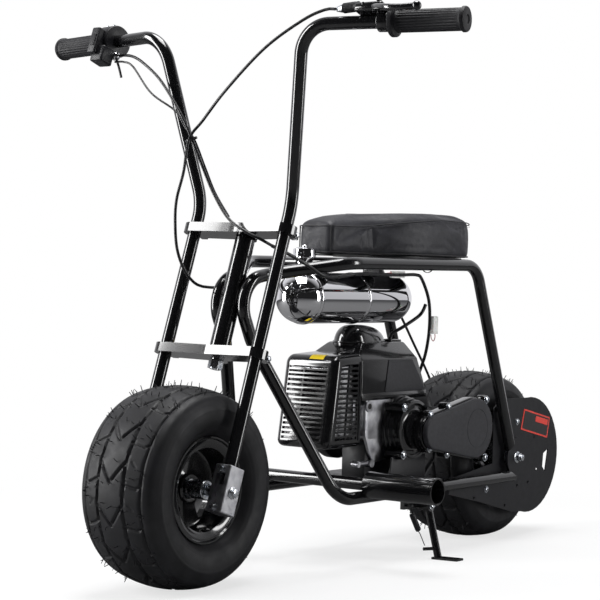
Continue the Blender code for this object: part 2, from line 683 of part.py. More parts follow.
def tank():
    """Chromed bottle with domed ends and two raised bands, and its filler cap."""
    front = [
        (TANK_RADIUS * math.cos(angle), TANK_REAR - TANK_FRONT + TANK_DOME * math.sin(angle))
        for angle in (math.radians(step) for step in (90, 65, 40, 15))]
    body = [(0 if step == 0 else radius, height) for step, (radius, height) in enumerate(front)]
    length = TANK_REAR - TANK_FRONT
    bands = []
    for middle in (length - 0.003, length - 0.150):
        for offset, rise in ((0.004, 0), (0, 0.0022), (-0.004, 0)):
            bands.append((TANK_RADIUS + rise, middle + offset))
    back = [(radius, length - height) for radius, height in reversed(body)]
    bottle = lathe("fuel_tank", body + bands + back, BIKE, "chrome", closed=False, steps=24,
                   location=(0, TANK_REAR, TANK_HEIGHT), rotation=(math.pi / 2, 0, 0))
    top = TANK_HEIGHT + TANK_RADIUS
    cap = [
        (0, 0.044), (CAP_RADIUS - 0.002, 0.044), (CAP_RADIUS, 0.042), (CAP_RADIUS, 0.026), (0, 0.026)]
    join(bottle, rod("filler_neck", (0, -0.118, top + 0.010), 0.031, 0.013, BIKE, None, (0, 0, 0), 20))
    lathe("tank_cap", cap, BIKE, "chrome", closed=False, steps=24, location=(0, -0.118, top),
          rotation=(0, 0, 0))


def slots(name, low, high, count, pitch, parent):
    """A tool of equal boxes stacked upwards, a pitch apart, as one mesh."""
    low, high = Vector(low), Vector(high)

    def build(shape):
        for row in range(count):
            made = bmesh.ops.create_cube(shape, size=1)["verts"]
            bmesh.ops.scale(shape, vec=high - low, verts=made)
            bmesh.ops.translate(shape, vec=(low + high) / 2 + Vector((0, 0, row * pitch)), verts=made)

    return place(name, mesh_from(name, build), parent, None)


def muffler_guard():
    """Thin box over the muffler, open at its back, with louvres in its front and both sides."""
    front, back, low, high = GUARD_FRONT, BLOCK_FRONT - GAP, GUARD_LOW, GUARD_LOW + GUARD_HEIGHT
    guard = box("muffler_guard", (-GUARD_HALF, front, low), (GUARD_HALF, back + 0.04, high), BIKE,
                "gloss_black", 0.014)
    wall = GUARD_WALL
    cut(guard,
        box("guard_inside", (wall - GUARD_HALF, front + wall, low + wall), (GUARD_HALF - wall, back + 0.05, high - wall),
            BIKE, bevel=0.014 - wall),
        box("guard_back", (-0.07, back, low - 0.01), (0.07, back + 0.05, high + 0.01), BIKE),
        slots("front_louvres", (-0.043, front - 0.02, low + 0.017), (0.040, front + 0.02, low + 0.0222),
              LOUVRE_COUNT, LOUVRE_PITCH, BIKE),
        slots("side_louvres", (-0.08, front + 0.022, low + 0.017), (0.08, back - 0.010, low + 0.0222),
              LOUVRE_COUNT, LOUVRE_PITCH, BIKE))
    box("muffler", (-0.046, front + 0.012, low + 0.012), (0.046, back - 0.0003, high - 0.012), BIKE, "cast_silver", 0.008)


def cylinder_cowl():
    """Cooling shroud: its side outline, cut to its front outline, with the spark plug's hood on top."""
    side = [((BLOCK_FRONT, BLOCK_TOP + GAP, 0), 0.002), ((0.196, BLOCK_TOP + GAP, 0), 0.004),
            ((0.187, 0.322, 0), 0.02), ((0.158, 0.364, 0), 0.02), ((0.135, COWL_TOP, 0), 0.006),
            ((0.020, COWL_TOP, 0), 0.02), ((BLOCK_FRONT, 0.372, 0), 0.008)]
    cowl = plate("cylinder_cowl", ring_outline(side, 3), 2 * COWL_HALF, BIKE, "gloss_black", (0, 0, 0))
    front = [(COWL_HALF, 0.29), (COWL_HALF, 0.364), (COWL_SHOULDER, COWL_TOP + 0.001),
             (-COWL_SHOULDER, COWL_TOP + 0.001), (-COWL_HALF, 0.364), (-COWL_HALF, 0.29)]
    combine(cowl, plate("cowl_shoulders", front, 0.5, BIKE, None, (0, 0, 0), (math.pi / 2, 0, 0)), "INTERSECT")

    def dome(shape):
        bmesh.ops.create_uvsphere(shape, u_segments=20, v_segments=10, radius=1)
        bmesh.ops.scale(shape, vec=HOOD_SIZE, verts=shape.verts)

    hood = place("plug_hood", mesh_from("plug_hood", dome), BIKE, None, (0, HOOD_PLACE, COWL_TOP - 0.006))
    under = box("plug_hood_under", (-0.1, -0.1, 0.2), (0.1, 0.25, COWL_TOP - 0.004), BIKE)
    cut(hood, under)
    join(cowl, hood)


def engine():
    """Two-stroke engine: block, louvred muffler guard, cowl, clutch, gear case and starter."""
    block = box("engine_block", (-0.059, BLOCK_FRONT, 0.176), (0.058, 0.165, BLOCK_TOP), BIKE, "cast_silver", 0.006)
    for name, y, z in (("upper_lug", 0.000, 0.284), ("lower_lug", 0.010, 0.186)):
        join(block, rod(name, (0.052, y, z), 0.020, 0.010, BIKE, sides=16))
    muffler_guard()
    cylinder_cowl()
    lathe("clutch_housing", [
        (0, CASE_INNER - 0.0585 - GAP), (0.043, CASE_INNER - 0.0585 - GAP), (0.043, 0.032), (0.047, 0.027),
        (0.049, 0.016), (0.055, 0.011), (0.055, 0.0), (0, 0)], BIKE, "gloss_black", closed=False, steps=32,
          location=(0.0585, CRANK_PLACE, CRANK_HEIGHT))
    gear_case()
    lathe("recoil_starter", [(0, 0.040), (0.030, 0.040), (0.056, 0.030), (0.063, 0.018), (0.063, 0.0), (0, 0)],
          BIKE, "satin_black", closed=False, steps=36, location=(-0.0595, CRANK_PLACE, CRANK_HEIGHT),
          rotation=(0, -math.pi / 2, 0))
    box("air_box", (-0.045, 0.1653, 0.205), (0.045, 0.232, 0.2995), BIKE, "satin_black", 0.008)
    top = 0.1453
    mount = box("engine_mount", (-0.119, -0.010, SILL_HEIGHT + TUBE_RADIUS + GAP), (0.119, 0.170, top), BIKE,
                "satin_black")
    join(mount,
         box("mount_pedestal", (-0.045, -0.010, top - 0.001), (0.052, 0.160, 0.1757), BIKE),
         box("mount_web", (0.060, 0.030, top - 0.001), (0.063, 0.160, 0.1757), BIKE),
         box("mount_web_foot", (0.050, 0.030, 0.170), (0.063, 0.160, 0.1757), BIKE))


def egg(small, large, small_radius, large_radius):
    """Outline round two circles, the small one ahead of the large one."""
    lean = math.asin((large_radius - small_radius) / (large[0] - small[0]))
    quarter = math.pi / 2
    return (circle(large, large_radius, 16, -quarter - lean, quarter + lean)
            + circle(small, small_radius, 10, quarter + lean, 3 * quarter - lean))


def gear_case():
    """Egg-shaped reduction gear case with a lug at each bolt, a matte cover and the chain's pinion."""
    depth = CASE_OUTER - CASE_INNER
    middle = (CASE_INNER + CASE_OUTER) / 2
    small, large = (0.126, 0.231), (0.270, 0.232)
    case = plate("gear_case", egg(small, large, 0.033, 0.0585), depth, BIKE, "gloss_black", (middle, 0, 0))
    for count, (y, z) in enumerate(CASE_BOLTS):
        join(case, rod(f"case_lug_{count}", (middle, y, z), depth, 0.0085, BIKE, sides=12))
        inward = Vector((0, large[0] - y, large[1] - z)) if y > 0.25 else Vector((0, 0, 0.231 - z))
        join(case, rod_between(f"case_lug_arm_{count}", (middle, y, z), Vector((middle, y, z)) + inward.normalized() * 0.02,
                               0.0065, BIKE, None, 8))
    cover = plate("gear_cover", egg(small, large, 0.031, 0.0565), 0.012, BIKE, "matte_black", (CASE_OUTER + GAP + 0.006, 0, 0))
    round_edges(cover, 0.003)
    pinion = rod_between("output_pinion", (CHAIN_LINE - 0.0045, OUTPUT_PLACE, OUTPUT_HEIGHT),
                         (CASE_INNER + 0.002, OUTPUT_PLACE, OUTPUT_HEIGHT), PINION_RADIUS - 0.0036, BIKE, None, 20)
    join(case, pinion)


def chain_path(offset):
    """Outline of the chain run round both sprockets, offset from their pitch circles."""
    rear = Vector((REAR_AXLE.y, REAR_AXLE.z))
    front = Vector((OUTPUT_PLACE, OUTPUT_HEIGHT))
    rear_radius = SPROCKET_RADIUS + offset
    front_radius = PINION_RADIUS + offset
    line = rear - front
    heading = math.atan2(line.y, line.x)
    spread = math.acos((front_radius - rear_radius) / line.length)
    top, bottom = heading + spread, heading - spread
    back = circle(rear, rear_radius, 28, bottom, top)
    return back + circle(front, front_radius, 10, top, bottom + 2 * math.pi)


def drive():
    """Chain as one fixed loop, its guard, the rear axle and the brake caliper."""
    plate("drive_chain", chain_path(CHAIN_DEPTH / 2), CHAIN_WIDTH, BIKE, "zinc", (CHAIN_LINE, 0, 0),
          holes=[chain_path(-CHAIN_DEPTH / 2)])
    centre, radius = (0.5205, 0.1645), 0.1155
    outline = [(0.220, 0.108), (0.335, 0.084), (0.460, 0.054)] + circle(
        centre, radius, 24, -math.radians(104), math.radians(96)) + [
        (0.405, 0.281), (0.378, 0.262), (0.378, 0.156), (0.235, 0.138)]
    window = [(0.5977, 0.1717), (0.5873, 0.1255), (0.5760, 0.1367), (0.5791, 0.1634)]
    vents = [circle(spot, 0.0045, 3, math.radians(20)) for spot in GUARD_VENTS]
    guard = plate("chain_guard", outline, 0.002, BIKE, "satin_black", (0.0990, 0, 0),
                  holes=[circle((REAR_AXLE.y, REAR_AXLE.z), 0.022, 20), window, *vents])
    for name, y, z in (("guard_sill_pad", 0.300, SILL_HEIGHT), ("guard_strut_pad", 0.3925, 0.262)):
        join(guard, rod(name, (0.1006, y, z), 0.0022, 0.006, BIKE, sides=16))

    axle = rod("rear_axle", REAR_AXLE, 2 * (RAIL_HALF + 0.016), AXLE_RADIUS, BIKE, "zinc")
    for sign, inner in ((1, CHAIN_LINE + 0.004), (-1, HUB_HALF + 0.041)):
        outer = RAIL_HALF - 0.0025 - GAP
        join(axle, rod(f"rear_spacer_{sign}", (sign * (inner + outer) / 2, REAR_AXLE.y, REAR_AXLE.z),
                       outer - inner, 0.010, BIKE))


def rear_wheel_extras():
    """Sprocket and brake disc, each on its carrier against the hub."""
    bore = AXLE_RADIUS + AXLE_BORE_GAP
    near = HUB_HALF + GAP
    far = CHAIN_LINE + 0.002
    reach = SPROCKET_RADIUS - CHAIN_DEPTH / 2 - 0.0006
    lathe("rear_sprocket", [
        (bore, far), (reach, far), (reach, far - 0.004), (0.034, far - 0.004), (0.030, near), (bore, near)],
        REAR_WHEEL, "zinc", steps=32)
    disc = -0.0870
    lathe("brake_disc", [
        (bore, -near), (0.026, -near), (0.026, disc + 0.003), (0.058, disc + 0.003), (0.058, disc), (bore, disc)],
        REAR_WHEEL, "zinc", steps=32)


def brake_caliper():
    """Caliper over the disc, on an arm that hangs on the rear axle. It is laid out as if ahead of the axle."""
    hanger = empty("caliper_place", BIKE, REAR_AXLE, (-CALIPER_TURN, 0, 0))
    caliper = box("brake_caliper", (-0.1015, -0.072, -0.010), (-0.0765, -0.036, 0.034), hanger,
                  "satin_black", 0.003)
    cut(caliper, box("caliper_slot", (-0.0895, -0.067, -0.05), (-0.0815, 0, 0.06), hanger))
    arm = plate("caliper_arm", ring_outline([
        ((-0.062, 0.000, 0), 0.004), ((0.016, -0.016, 0), 0.012), ((0.016, 0.016, 0), 0.012),
        ((-0.062, 0.028, 0), 0.004)], 4), 0.003, hanger, None, (-0.1000, 0, 0))
    join(caliper, arm)
    cut(caliper, rod("caliper_arm_hole", (-0.1, 0, 0), 0.02, 0.010 + GAP, hanger))


def side_stand():
    """Leg with its foot, in the frame of the stand's pivot, and the bracket and spring."""
    eye = rod("stand_leg", (0, 0, 0), 0.012, 0.011, STAND, "gloss_black", sides=20)
    cut(eye, rod("stand_eye_hole", (0, 0, 0), 0.03, 0.0045, STAND, None, sides=16))
    foot_across = STAND_PIVOT[0] + (STAND_PIVOT[2] - 0.006) * math.tan(STAND_SPLAY)
    floor = ground_height(foot_across + FOOT_REACH / 2)
    length = (STAND_PIVOT[2] - ground_height(foot_across)) / math.cos(STAND_SPLAY)
    leg = rod_between("stand_tube", (0, 0, -0.008), (0, 0, -length + 0.004), STAND_RADIUS, STAND)
    join(eye, leg)
    foot = box("stand_foot", (-0.008, -FOOT_DEPTH / 2, -FOOT_WALL / 2),
               (FOOT_REACH, FOOT_DEPTH / 2, FOOT_WALL / 2), STAND)
    middle = Vector((foot_across + (FOOT_REACH - 0.008) / 2, STAND_PIVOT[1], floor + FOOT_WALL / 2))
    offset = middle - Vector(STAND_PIVOT)
    turn = Matrix.Rotation(STAND_SPLAY, 3, "Y")
    foot.location = turn @ offset
    foot.rotation_euler = (0, STAND_SPLAY - LEAN, 0)
    join(eye, foot)

    pivot = Vector(STAND_PIVOT)
    face = RAIL_HALF + 0.0045
    bracket = box("stand_bracket", (face - 0.009, pivot.y - 0.060, 0.096), (face, pivot.y + 0.014, SILL_HEIGHT - 0.0114),
                  BIKE, "gloss_black", 0.001)
    spring_top = Vector((face + 0.0065, pivot.y - 0.052, 0.0985))
    spring_foot = Vector((0.137, pivot.y - 0.019, 0.030))
    join(bracket, rod_between("spring_post", spring_top + Vector((-0.010, 0, 0.0052)),
                              spring_top + Vector((0.006, 0, 0.0052)), 0.003, BIKE, None, 12))
    join(bracket, rod_between("stand_pin", pivot - Vector((0.020, 0, 0.0054)), pivot + Vector((0.0105, 0, 0.0028)),
                              0.0042, BIKE))
    tube("stand_spring", [spring_top, spring_foot], 0.005, BIKE, "satin_black", 2)
    low = spring_foot - Vector((0, 0, 0.0060))
    leg_side = Vector((STAND_PIVOT[0] + (pivot.z - low.z) * math.tan(STAND_SPLAY), pivot.y, low.z))
    join(eye, rod_between("leg_post", turn @ (leg_side - pivot), turn @ (low - Vector((0, 0.004, 0)) - pivot),
                          0.003, STAND, None, 12))


def controls():
    """Throttle and switch housing on the right, brake lever and perch on the left."""
    corner, end = Vector(BAR_CORNER), Vector(BAR_END)
    for side, sign in (("left", 1), ("right", -1)):
        a = Vector((sign * corner.x, corner.y, corner.z))
        b = Vector((sign * end.x, end.y, end.z))
        outward = (b - a).normalized()
        turn = outward.to_track_quat("Z", "Y").to_euler()
        inner = b + outward * (0.008 - GRIP_LENGTH - 0.001)
        if sign < 0:
            throttle_housing(inner, outward, turn)
        else:
            brake_lever(inner, outward, turn)


def throttle_housing(inner, outward, turn):
    """Drum round the bar with the flat switch box in front of it."""
    middle = inner - outward * 0.017
    housing = rod("throttle_housing", middle, 0.034, 0.0285, STEERING, "matte_black", turn, 24)
    round_edges(housing, 0.003)
    join(housing,
         box("switch_box", middle + Vector((-0.0125, -0.043, -0.038)), middle + Vector((0.006, -0.010, 0.010)),
             STEERING, bevel=0.002),
         box("switch_foot", middle + Vector((-0.010, -0.034, -0.050)), middle + Vector((0.018, -0.004, -0.020)),
             STEERING, bevel=0.003))
    cut(housing, rod("throttle_bore", middle, 0.08, TUBE_RADIUS + GAP, STEERING, None, turn))


def brake_lever(inner, outward, turn):
    """Clamp, perch and short blade with its ball end, in one piece."""
    middle = inner - outward * 0.012
    perch = rod("brake_lever", middle, 0.018, 0.0165, STEERING, "gloss_black", turn, 24)
    body = [middle + Vector((-0.082, -0.020, 0.018)), middle + Vector((-0.040, -0.022, 0.019)),
            middle + Vector((0.004, -0.027, 0.016))]
    blade = [middle + Vector((-0.004, -0.029, 0.018)), middle + Vector((0.030, -0.045, 0.020)),
             middle + Vector((0.068, -0.044, 0.023))]
    join(perch,
         rod_between("perch_barrel", body[0], body[1], 0.0085, STEERING, None, 12),
         box("perch_body", body[1] + Vector((-0.003, -0.010, -0.010)), body[2] + Vector((0.006, 0.020, 0.012)), STEERING,
             bevel=0.003),
         rod_between("blade_root", blade[0], blade[1], 0.0060, STEERING, None, 10),
         rod_between("blade", blade[1] - Vector((0.002, -0.001, 0)), blade[2], 0.0048, STEERING, None, 10))

    def ball(shape):
        bmesh.ops.create_uvsphere(shape, u_segments=10, v_segments=6, radius=0.0075)

    join(perch, place("blade_ball", mesh_from("blade_ball", ball), STEERING, None, blade[2]))
    cut(perch, rod("perch_bore", middle, 0.14, TUBE_RADIUS + GAP, STEERING, None, turn))


def smooth(points, step):
    """Points about a step apart on a smooth curve through a cable's chosen points."""
    points = [Vector(point) for point in points]
    path = [points[0]]
    for count in range(len(points) - 1):
        before = points[max(count - 1, 0)]
        here, there = points[count], points[count + 1]
        after = points[min(count + 2, len(points) - 1)]
        parts = max(1, round((there - here).length / step))
        for part in range(1, parts + 1):
            t = part / parts
            path.append(0.5 * (
                2 * here + (there - before) * t + (2 * before - 5 * here + 4 * there - after) * t * t
                + (3 * here - before - 3 * there + after) * t ** 3))
    return path


def cables():
    """Control cables and leads, each along its real route, in the upright bike's frame."""
    for name, (radius, points) in CABLES.items():
        tube(name, smooth(points, CABLE_STEP), radius, BIKE, "cable_black", 2)
    for name, low, high in CONNECTORS:
        box(name, low, high, BIKE, "white_plastic")


def centre_over_origin():
    """Moves the bike along the floor until the middle of its box is over the origin."""
    bpy.context.view_layer.update()
    graph = bpy.context.evaluated_depsgraph_get()
    corners = []
    for thing in PARTS.objects:
        if thing.type == "EMPTY":
            continue
        evaluated = thing.evaluated_get(graph)
        corners += [thing.matrix_world @ vertex.co for vertex in evaluated.to_mesh().vertices]
        evaluated.to_mesh_clear()
    for axis in (0, 1):
        side = [corner[axis] for corner in corners]
        BIKE.location[axis] -= (min(side) + max(side)) / 2


wheel("front", FRONT_WHEEL, RAKE)
wheel("rear", REAR_WHEEL)
rear_wheel_extras()
fork()
controls()
frame()
pegs()
seat()
tank()
engine()
drive()
brake_caliper()
side_stand()
cables()
centre_over_origin()
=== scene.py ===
"""Looks of the parked minibike: finishes, tread, tubes, seat, tank, engine dress, chain, bolts and cables.

Places are in metres in the upright bike's own frame, as in the part's source, and a matrix leans each
piece with the bike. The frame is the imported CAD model.
"""
import json
import math

import bmesh
import bpy
import numpy as np
from bpy.props import FloatProperty, FloatVectorProperty, IntProperty, PointerProperty
from mathutils import Matrix, Vector
from mathutils.bvhtree import BVHTree

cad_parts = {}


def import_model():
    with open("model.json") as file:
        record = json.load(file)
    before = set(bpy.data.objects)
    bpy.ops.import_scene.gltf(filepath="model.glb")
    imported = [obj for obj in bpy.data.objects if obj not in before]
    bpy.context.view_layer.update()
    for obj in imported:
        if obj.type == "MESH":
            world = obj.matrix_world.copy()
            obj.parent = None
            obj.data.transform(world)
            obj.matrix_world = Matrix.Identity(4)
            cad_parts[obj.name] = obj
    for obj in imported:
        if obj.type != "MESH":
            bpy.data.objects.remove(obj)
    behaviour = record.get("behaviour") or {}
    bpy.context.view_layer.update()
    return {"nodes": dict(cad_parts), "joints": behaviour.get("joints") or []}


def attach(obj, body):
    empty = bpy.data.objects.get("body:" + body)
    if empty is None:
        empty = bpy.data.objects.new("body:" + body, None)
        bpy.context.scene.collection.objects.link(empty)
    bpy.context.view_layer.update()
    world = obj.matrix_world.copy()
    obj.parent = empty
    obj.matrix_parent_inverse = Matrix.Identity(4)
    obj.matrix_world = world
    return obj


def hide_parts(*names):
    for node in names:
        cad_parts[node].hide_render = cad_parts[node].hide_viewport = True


bl_info = {
    "name": "Minibike dress",
    "version": (1, 0, 0),
    "blender": (4, 5, 0),
    "location": "3D View > Sidebar > Minibike",
    "description": "Builds the visible pieces and finishes of a parked minibike over its CAD frame",
    "category": "Object",
}

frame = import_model()

# The bike's own frame
LEAN = math.radians(1.75)
RAKE = math.radians(18.8)
WHEELBASE = 0.891
TYRE_RADIUS = 0.165
FORK_OFFSET = 0.02
FRONT_AXLE = Vector((0, -WHEELBASE / 2, TYRE_RADIUS))
REAR_AXLE = Vector((0, WHEELBASE / 2, TYRE_RADIUS))
STAND_PIVOT = Vector((0.13, 0.103, 0.0985))
COIL_RADIUS = 0.0041         # of the stand's spring
COIL_TURNS = 16
COIL_STEPS = 14
WIRE_RADIUS = 0.00085
GAP = 0.0003


def bike_frame():
    """The leaning bike's frame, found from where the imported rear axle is."""
    joint = next(joint for joint in frame["joints"] if joint["name"] == "rear_wheel_spin")
    turn = Matrix.Rotation(LEAN, 4, "Y")
    return Matrix.Translation(Vector(joint["pos_m"]) - turn @ REAR_AXLE) @ turn


BIKE = bike_frame()
STEERING = (BIKE @ Matrix.Translation(FRONT_AXLE + FORK_OFFSET * Vector((0, math.cos(RAKE), -math.sin(RAKE))))
            @ Matrix.Rotation(-RAKE, 4, "X"))
FRONT_WHEEL = STEERING @ Matrix.Translation((0, -FORK_OFFSET, 0))
REAR_WHEEL = BIKE @ Matrix.Translation(REAR_AXLE)
ALONG_X = Matrix.Rotation(math.pi / 2, 4, "Y")
# Turns x and y of an outline to y and z of the bike
ACROSS = Matrix.Rotation(math.pi / 2, 4, "Z") @ Matrix.Rotation(math.pi / 2, 4, "X")
SIDES = (("left", 1), ("right", -1))


def on_bike(*spot):
    """A place in the upright bike's frame, leaning with the bike."""
    return BIKE @ Matrix.Translation(spot)


def side_on(x):
    """The plane of the bike's side view, at a distance from its middle."""
    return on_bike(x, 0, 0) @ ACROSS


def toward(direction):
    """A turn that points z along a direction."""
    return Vector(direction).to_track_quat("Z", "Y").to_matrix().to_4x4()


def mirrored(point, sign):
    return Vector((sign * point.x, point.y, point.z))


# Tubes
TUBE_RADIUS = 0.011
FORK_HALF = 0.097
TUBE_FOOT = 0.01
BAR_KINK = 0.494
BAR_CORNER = Vector((0.15, -0.1615, 0.747))
BAR_END = Vector((0.424, -0.116, 0.759))
GRIP_LENGTH = 0.128
GRIP_CAP = 0.008             # of the grip beyond its tube
HEAD_RADIUS = 0.017
CLAMPS = (0.23, 0.445)
CLAMP_HEIGHT = 0.016
RAIL_HALF = 0.113
RAIL_HEIGHT = 0.536
SILL_HEIGHT = 0.129
REAR_BEND = 0.277
NECK_HALF = HEAD_RADIUS + TUBE_RADIUS + GAP
DROPOUT_CENTRE = (REAR_AXLE.y + 0.003, REAR_AXLE.z)
DROPOUT_RADIUS = 0.039
PEG_PLACE = -0.08
PEG_RADIUS = 0.0233
PEG_WALL = 0.003
PEG_REACH = 0.266

# Wheels
TREAD_HALF = 0.056
TYRE_HALF = 0.08
CROWN_RADIUS = 0.2
RIM_RADIUS = 0.0875
RIM_BARREL = 0.07
RIM_HALF = 0.06
RIM_FLANGE = 0.0035
RIM_WALL = 0.003
HUB_RADIUS = 0.024
HUB_HALF = 0.048
HUB_FACE = 0.027             # the hub's left face
WEB_PLACE = 0.012
WEB_WALL = 0.006
WINDOW_COUNT = 4
WINDOW_CIRCLE = 0.0465
AXLE_BORE = 0.0064

# Tank and seat
TANK_RADIUS = 0.0455
TANK_HEIGHT = RAIL_HEIGHT + 0.001 - 0.018 - TANK_RADIUS
TANK_FRONT = -0.1225
TANK_REAR = 0.115
TANK_DOME = 0.048
SEAT_FLOOR = 0.553
SEAT_NOSE = -0.092
SEAT_TAIL = 0.295
SEAT_NOSE_HALF = 0.039
SEAT_HALF = 0.107
FILLER_PLACE = -0.118
GOLDEN_ANGLE = 2.39996

# Engine
BLOCK_FRONT = -0.016
BLOCK_TOP = 0.3
GUARD_FRONT = -0.105
GUARD_HALF = 0.058
GUARD_LOW = 0.208
GUARD_HEIGHT = 0.164
GUARD_WALL = 0.003
COWL_TOP = 0.394
COWL_HALF = 0.059
COWL_SHOULDER = 0.036
HOOD_PLACE = 0.034             # of the hood's highest point
HOOD_HALF = 0.032
HOOD_FRONT = 0.036
HOOD_BACK = 0.096
HOOD_HEIGHT = 0.0355
CASE_INNER = 0.0995
CASE_OUTER = 0.1175
CASE_BOLTS = (
    (0.1228, 0.263), (0.184, 0.2751), (0.3197, 0.2837), (0.3189, 0.1731), (0.1823, 0.1876), (0.1218, 0.202))
CRANK_PLACE = 0.085
CRANK_HEIGHT = 0.236
CLUTCH_PLACE = 0.11
CLUTCH_BOLTS = ((0.0645, 0.278), (0.0647, 0.1916))
OUTPUT_PLACE = 0.272
OUTPUT_HEIGHT = 0.23
CHAIN_LINE = 0.0905
SPROCKET_RADIUS = 0.06
PINION_RADIUS = 0.017
GUARD_FACE = 0.1          # outer face of the chain guard

# name: radius, body, route
CABLES = {
    "brake_cable_upper": (0.0025, "fork", (
        (0.21, -0.3335, 0.939), (0.19, -0.3345, 0.939), (0.15, -0.34, 0.924), (0.08, -0.348, 0.882),
        (0.0, -0.345, 0.819), (-0.06, -0.333, 0.77), (-0.079, -0.345, 0.738), (-0.0686, -0.37, 0.6808),
        (-0.0694, -0.385, 0.6349), (-0.0672, -0.39, 0.5964), (-0.066, -0.385, 0.5521), (-0.06, -0.372, 0.517),
        (-0.056, -0.35, 0.496), (-0.054, -0.3306, 0.49))),
    "brake_cable_lower": (0.0025, "frame", (
        (-0.054, -0.3299, 0.4898), (-0.054, -0.29, 0.489), (-0.06, -0.23, 0.498), (-0.078, -0.15, 0.508),
        (-0.092, -0.07, 0.516), (-0.093, 0.05, 0.517), (-0.093, 0.18, 0.515), (-0.093, 0.26, 0.506),
        (-0.0915, 0.3216, 0.4473), (-0.09, 0.3751, 0.385), (-0.09, 0.4377, 0.3136), (-0.09, 0.46, 0.27),
        (-0.09, 0.467, 0.242))),
    "throttle_cable_upper": (0.0025, "fork", (
        (-0.2664, -0.324, 0.89), (-0.245, -0.3265, 0.89), (-0.22, -0.331, 0.885), (-0.19, -0.336, 0.87),
        (-0.15, -0.3395, 0.8396), (-0.105, -0.341, 0.785), (-0.079, -0.338, 0.738), (-0.06, -0.331, 0.6917),
        (-0.035, -0.33, 0.6463), (0.0, -0.333, 0.605), (0.038, -0.333, 0.583), (0.06, -0.318, 0.57),
        (0.064, -0.2955, 0.5612))),
    "throttle_cable_lower": (0.003, "frame", (
        (0.0643, -0.2949, 0.5606), (0.075, -0.26, 0.547), (0.082, -0.2205, 0.531), (0.093, -0.19, 0.514),
        (0.092, -0.155, 0.511), (0.093, -0.1229, 0.514), (0.0965, -0.0819, 0.518), (0.0965, 0.0376, 0.518),
        (0.096, 0.095, 0.519), (0.09, 0.125, 0.511), (0.08, 0.166, 0.4712), (0.07, 0.1856, 0.4223),
        (0.055, 0.199, 0.375), (0.04, 0.204, 0.34), (0.03, 0.2, 0.306))),
    "switch_wire_upper": (0.0018, "fork", (
        (-0.2664, -0.33, 0.879), (-0.245, -0.331, 0.878), (-0.22, -0.334, 0.868), (-0.17, -0.342, 0.82),
        (-0.12, -0.335, 0.7877), (-0.098, -0.333, 0.7589), (-0.079, -0.3315, 0.738), (-0.06, -0.3235, 0.69),
        (-0.038, -0.3225, 0.648), (-0.006, -0.324, 0.608))),
    "ignition_lead": (0.0032, "frame", (
        (0.03, 0.115, 0.3948), (0.031, 0.117, 0.408), (0.045, 0.14, 0.424), (0.057, 0.173, 0.445),
        (0.06, 0.186, 0.464))),
}

# Camera, fitted to the photograph
CAMERA_PLACE = Vector((1.94091, -2.7052, 0.45112))
CAMERA_AZIMUTH = math.radians(36.775)
CAMERA_ELEVATION = math.radians(-0.324)
LENS_LENGTH = 109.8            # mm
SENSOR_WIDTH = 36.0            # mm


# Finishes

def set_inputs(node, **values):
    """Sets a node's inputs. An underscore stands for a space in an input's name."""
    for socket, value in values.items():
        node.inputs[socket.replace("_", " ")].default_value = value
    return node


def link(tree, start, output, end, entry):
    tree.links.new(start.outputs[output], end.inputs[entry])


class Finish:
    """A material under construction: its Principled shader and a few ways to vary it."""

    def __init__(self, name, colour, metallic, roughness, **settings):
        self.material = bpy.data.materials.new(name)
        self.material.use_nodes = True
        self.tree = self.material.node_tree
        self.shader = set_inputs(self.tree.nodes["Principled BSDF"], Base_Color=(*colour, 1),
                                 Metallic=metallic, Roughness=roughness, **settings)
        self.material.diffuse_color = (*colour, 1)
        self.coordinate = self.tree.nodes.new("ShaderNodeTexCoord").outputs["Object"]
        self.normal = None

    def noise(self, scale, detail=3.0, stretch=(1, 1, 1)):
        mapping = set_inputs(self.tree.nodes.new("ShaderNodeMapping"), Scale=stretch)
        self.tree.links.new(self.coordinate, mapping.inputs["Vector"])
        texture = set_inputs(self.tree.nodes.new("ShaderNodeTexNoise"), Scale=scale, Detail=detail)
        link(self.tree, mapping, "Vector", texture, "Vector")
        return texture.outputs["Fac"]

    def cells(self, scale):
        texture = set_inputs(self.tree.nodes.new("ShaderNodeTexVoronoi"), Scale=scale)
        self.tree.links.new(self.coordinate, texture.inputs["Vector"])
        return texture.outputs["Distance"]

    def ramp(self, source, low, high, from_low=0.3, from_high=0.7):
        span = set_inputs(self.tree.nodes.new("ShaderNodeMapRange"), From_Min=from_low, From_Max=from_high,
                          To_Min=low, To_Max=high)
        self.tree.links.new(source, span.inputs["Value"])
        return span.outputs["Result"]

    def rough(self, scale, low, high, detail=3.0, stretch=(1, 1, 1)):
        """Lets the roughness wander between two values."""
        self.tree.links.new(self.ramp(self.noise(scale, detail, stretch), low, high),
                            self.shader.inputs["Roughness"])
        return self

    def tint(self, scale, first, second, detail=3.0):
        """Lets the colour wander between two colours."""
        mix = self.tree.nodes.new("ShaderNodeMix")
        mix.data_type = "RGBA"
        mix.inputs["A"].default_value = (*first, 1)
        mix.inputs["B"].default_value = (*second, 1)
        self.tree.links.new(self.ramp(self.noise(scale, detail), 0, 1, 0.35, 0.65), mix.inputs["Factor"])
        link(self.tree, mix, "Result", self.shader, "Base Color")
        return self

    def bump(self, source, height):
        node = set_inputs(self.tree.nodes.new("ShaderNodeBump"), Distance=height)
        self.tree.links.new(source, node.inputs["Height"])
        if self.normal:
            self.tree.links.new(self.normal, node.inputs["Normal"])
        self.normal = node.outputs["Normal"]
        self.tree.links.new(self.normal, self.shader.inputs["Normal"])
        return self

    def grain(self, scale, height, detail=3.0):
        return self.bump(self.noise(scale, detail), height)

    def pebbles(self, scale, height):
        return self.bump(self.cells(scale), height)


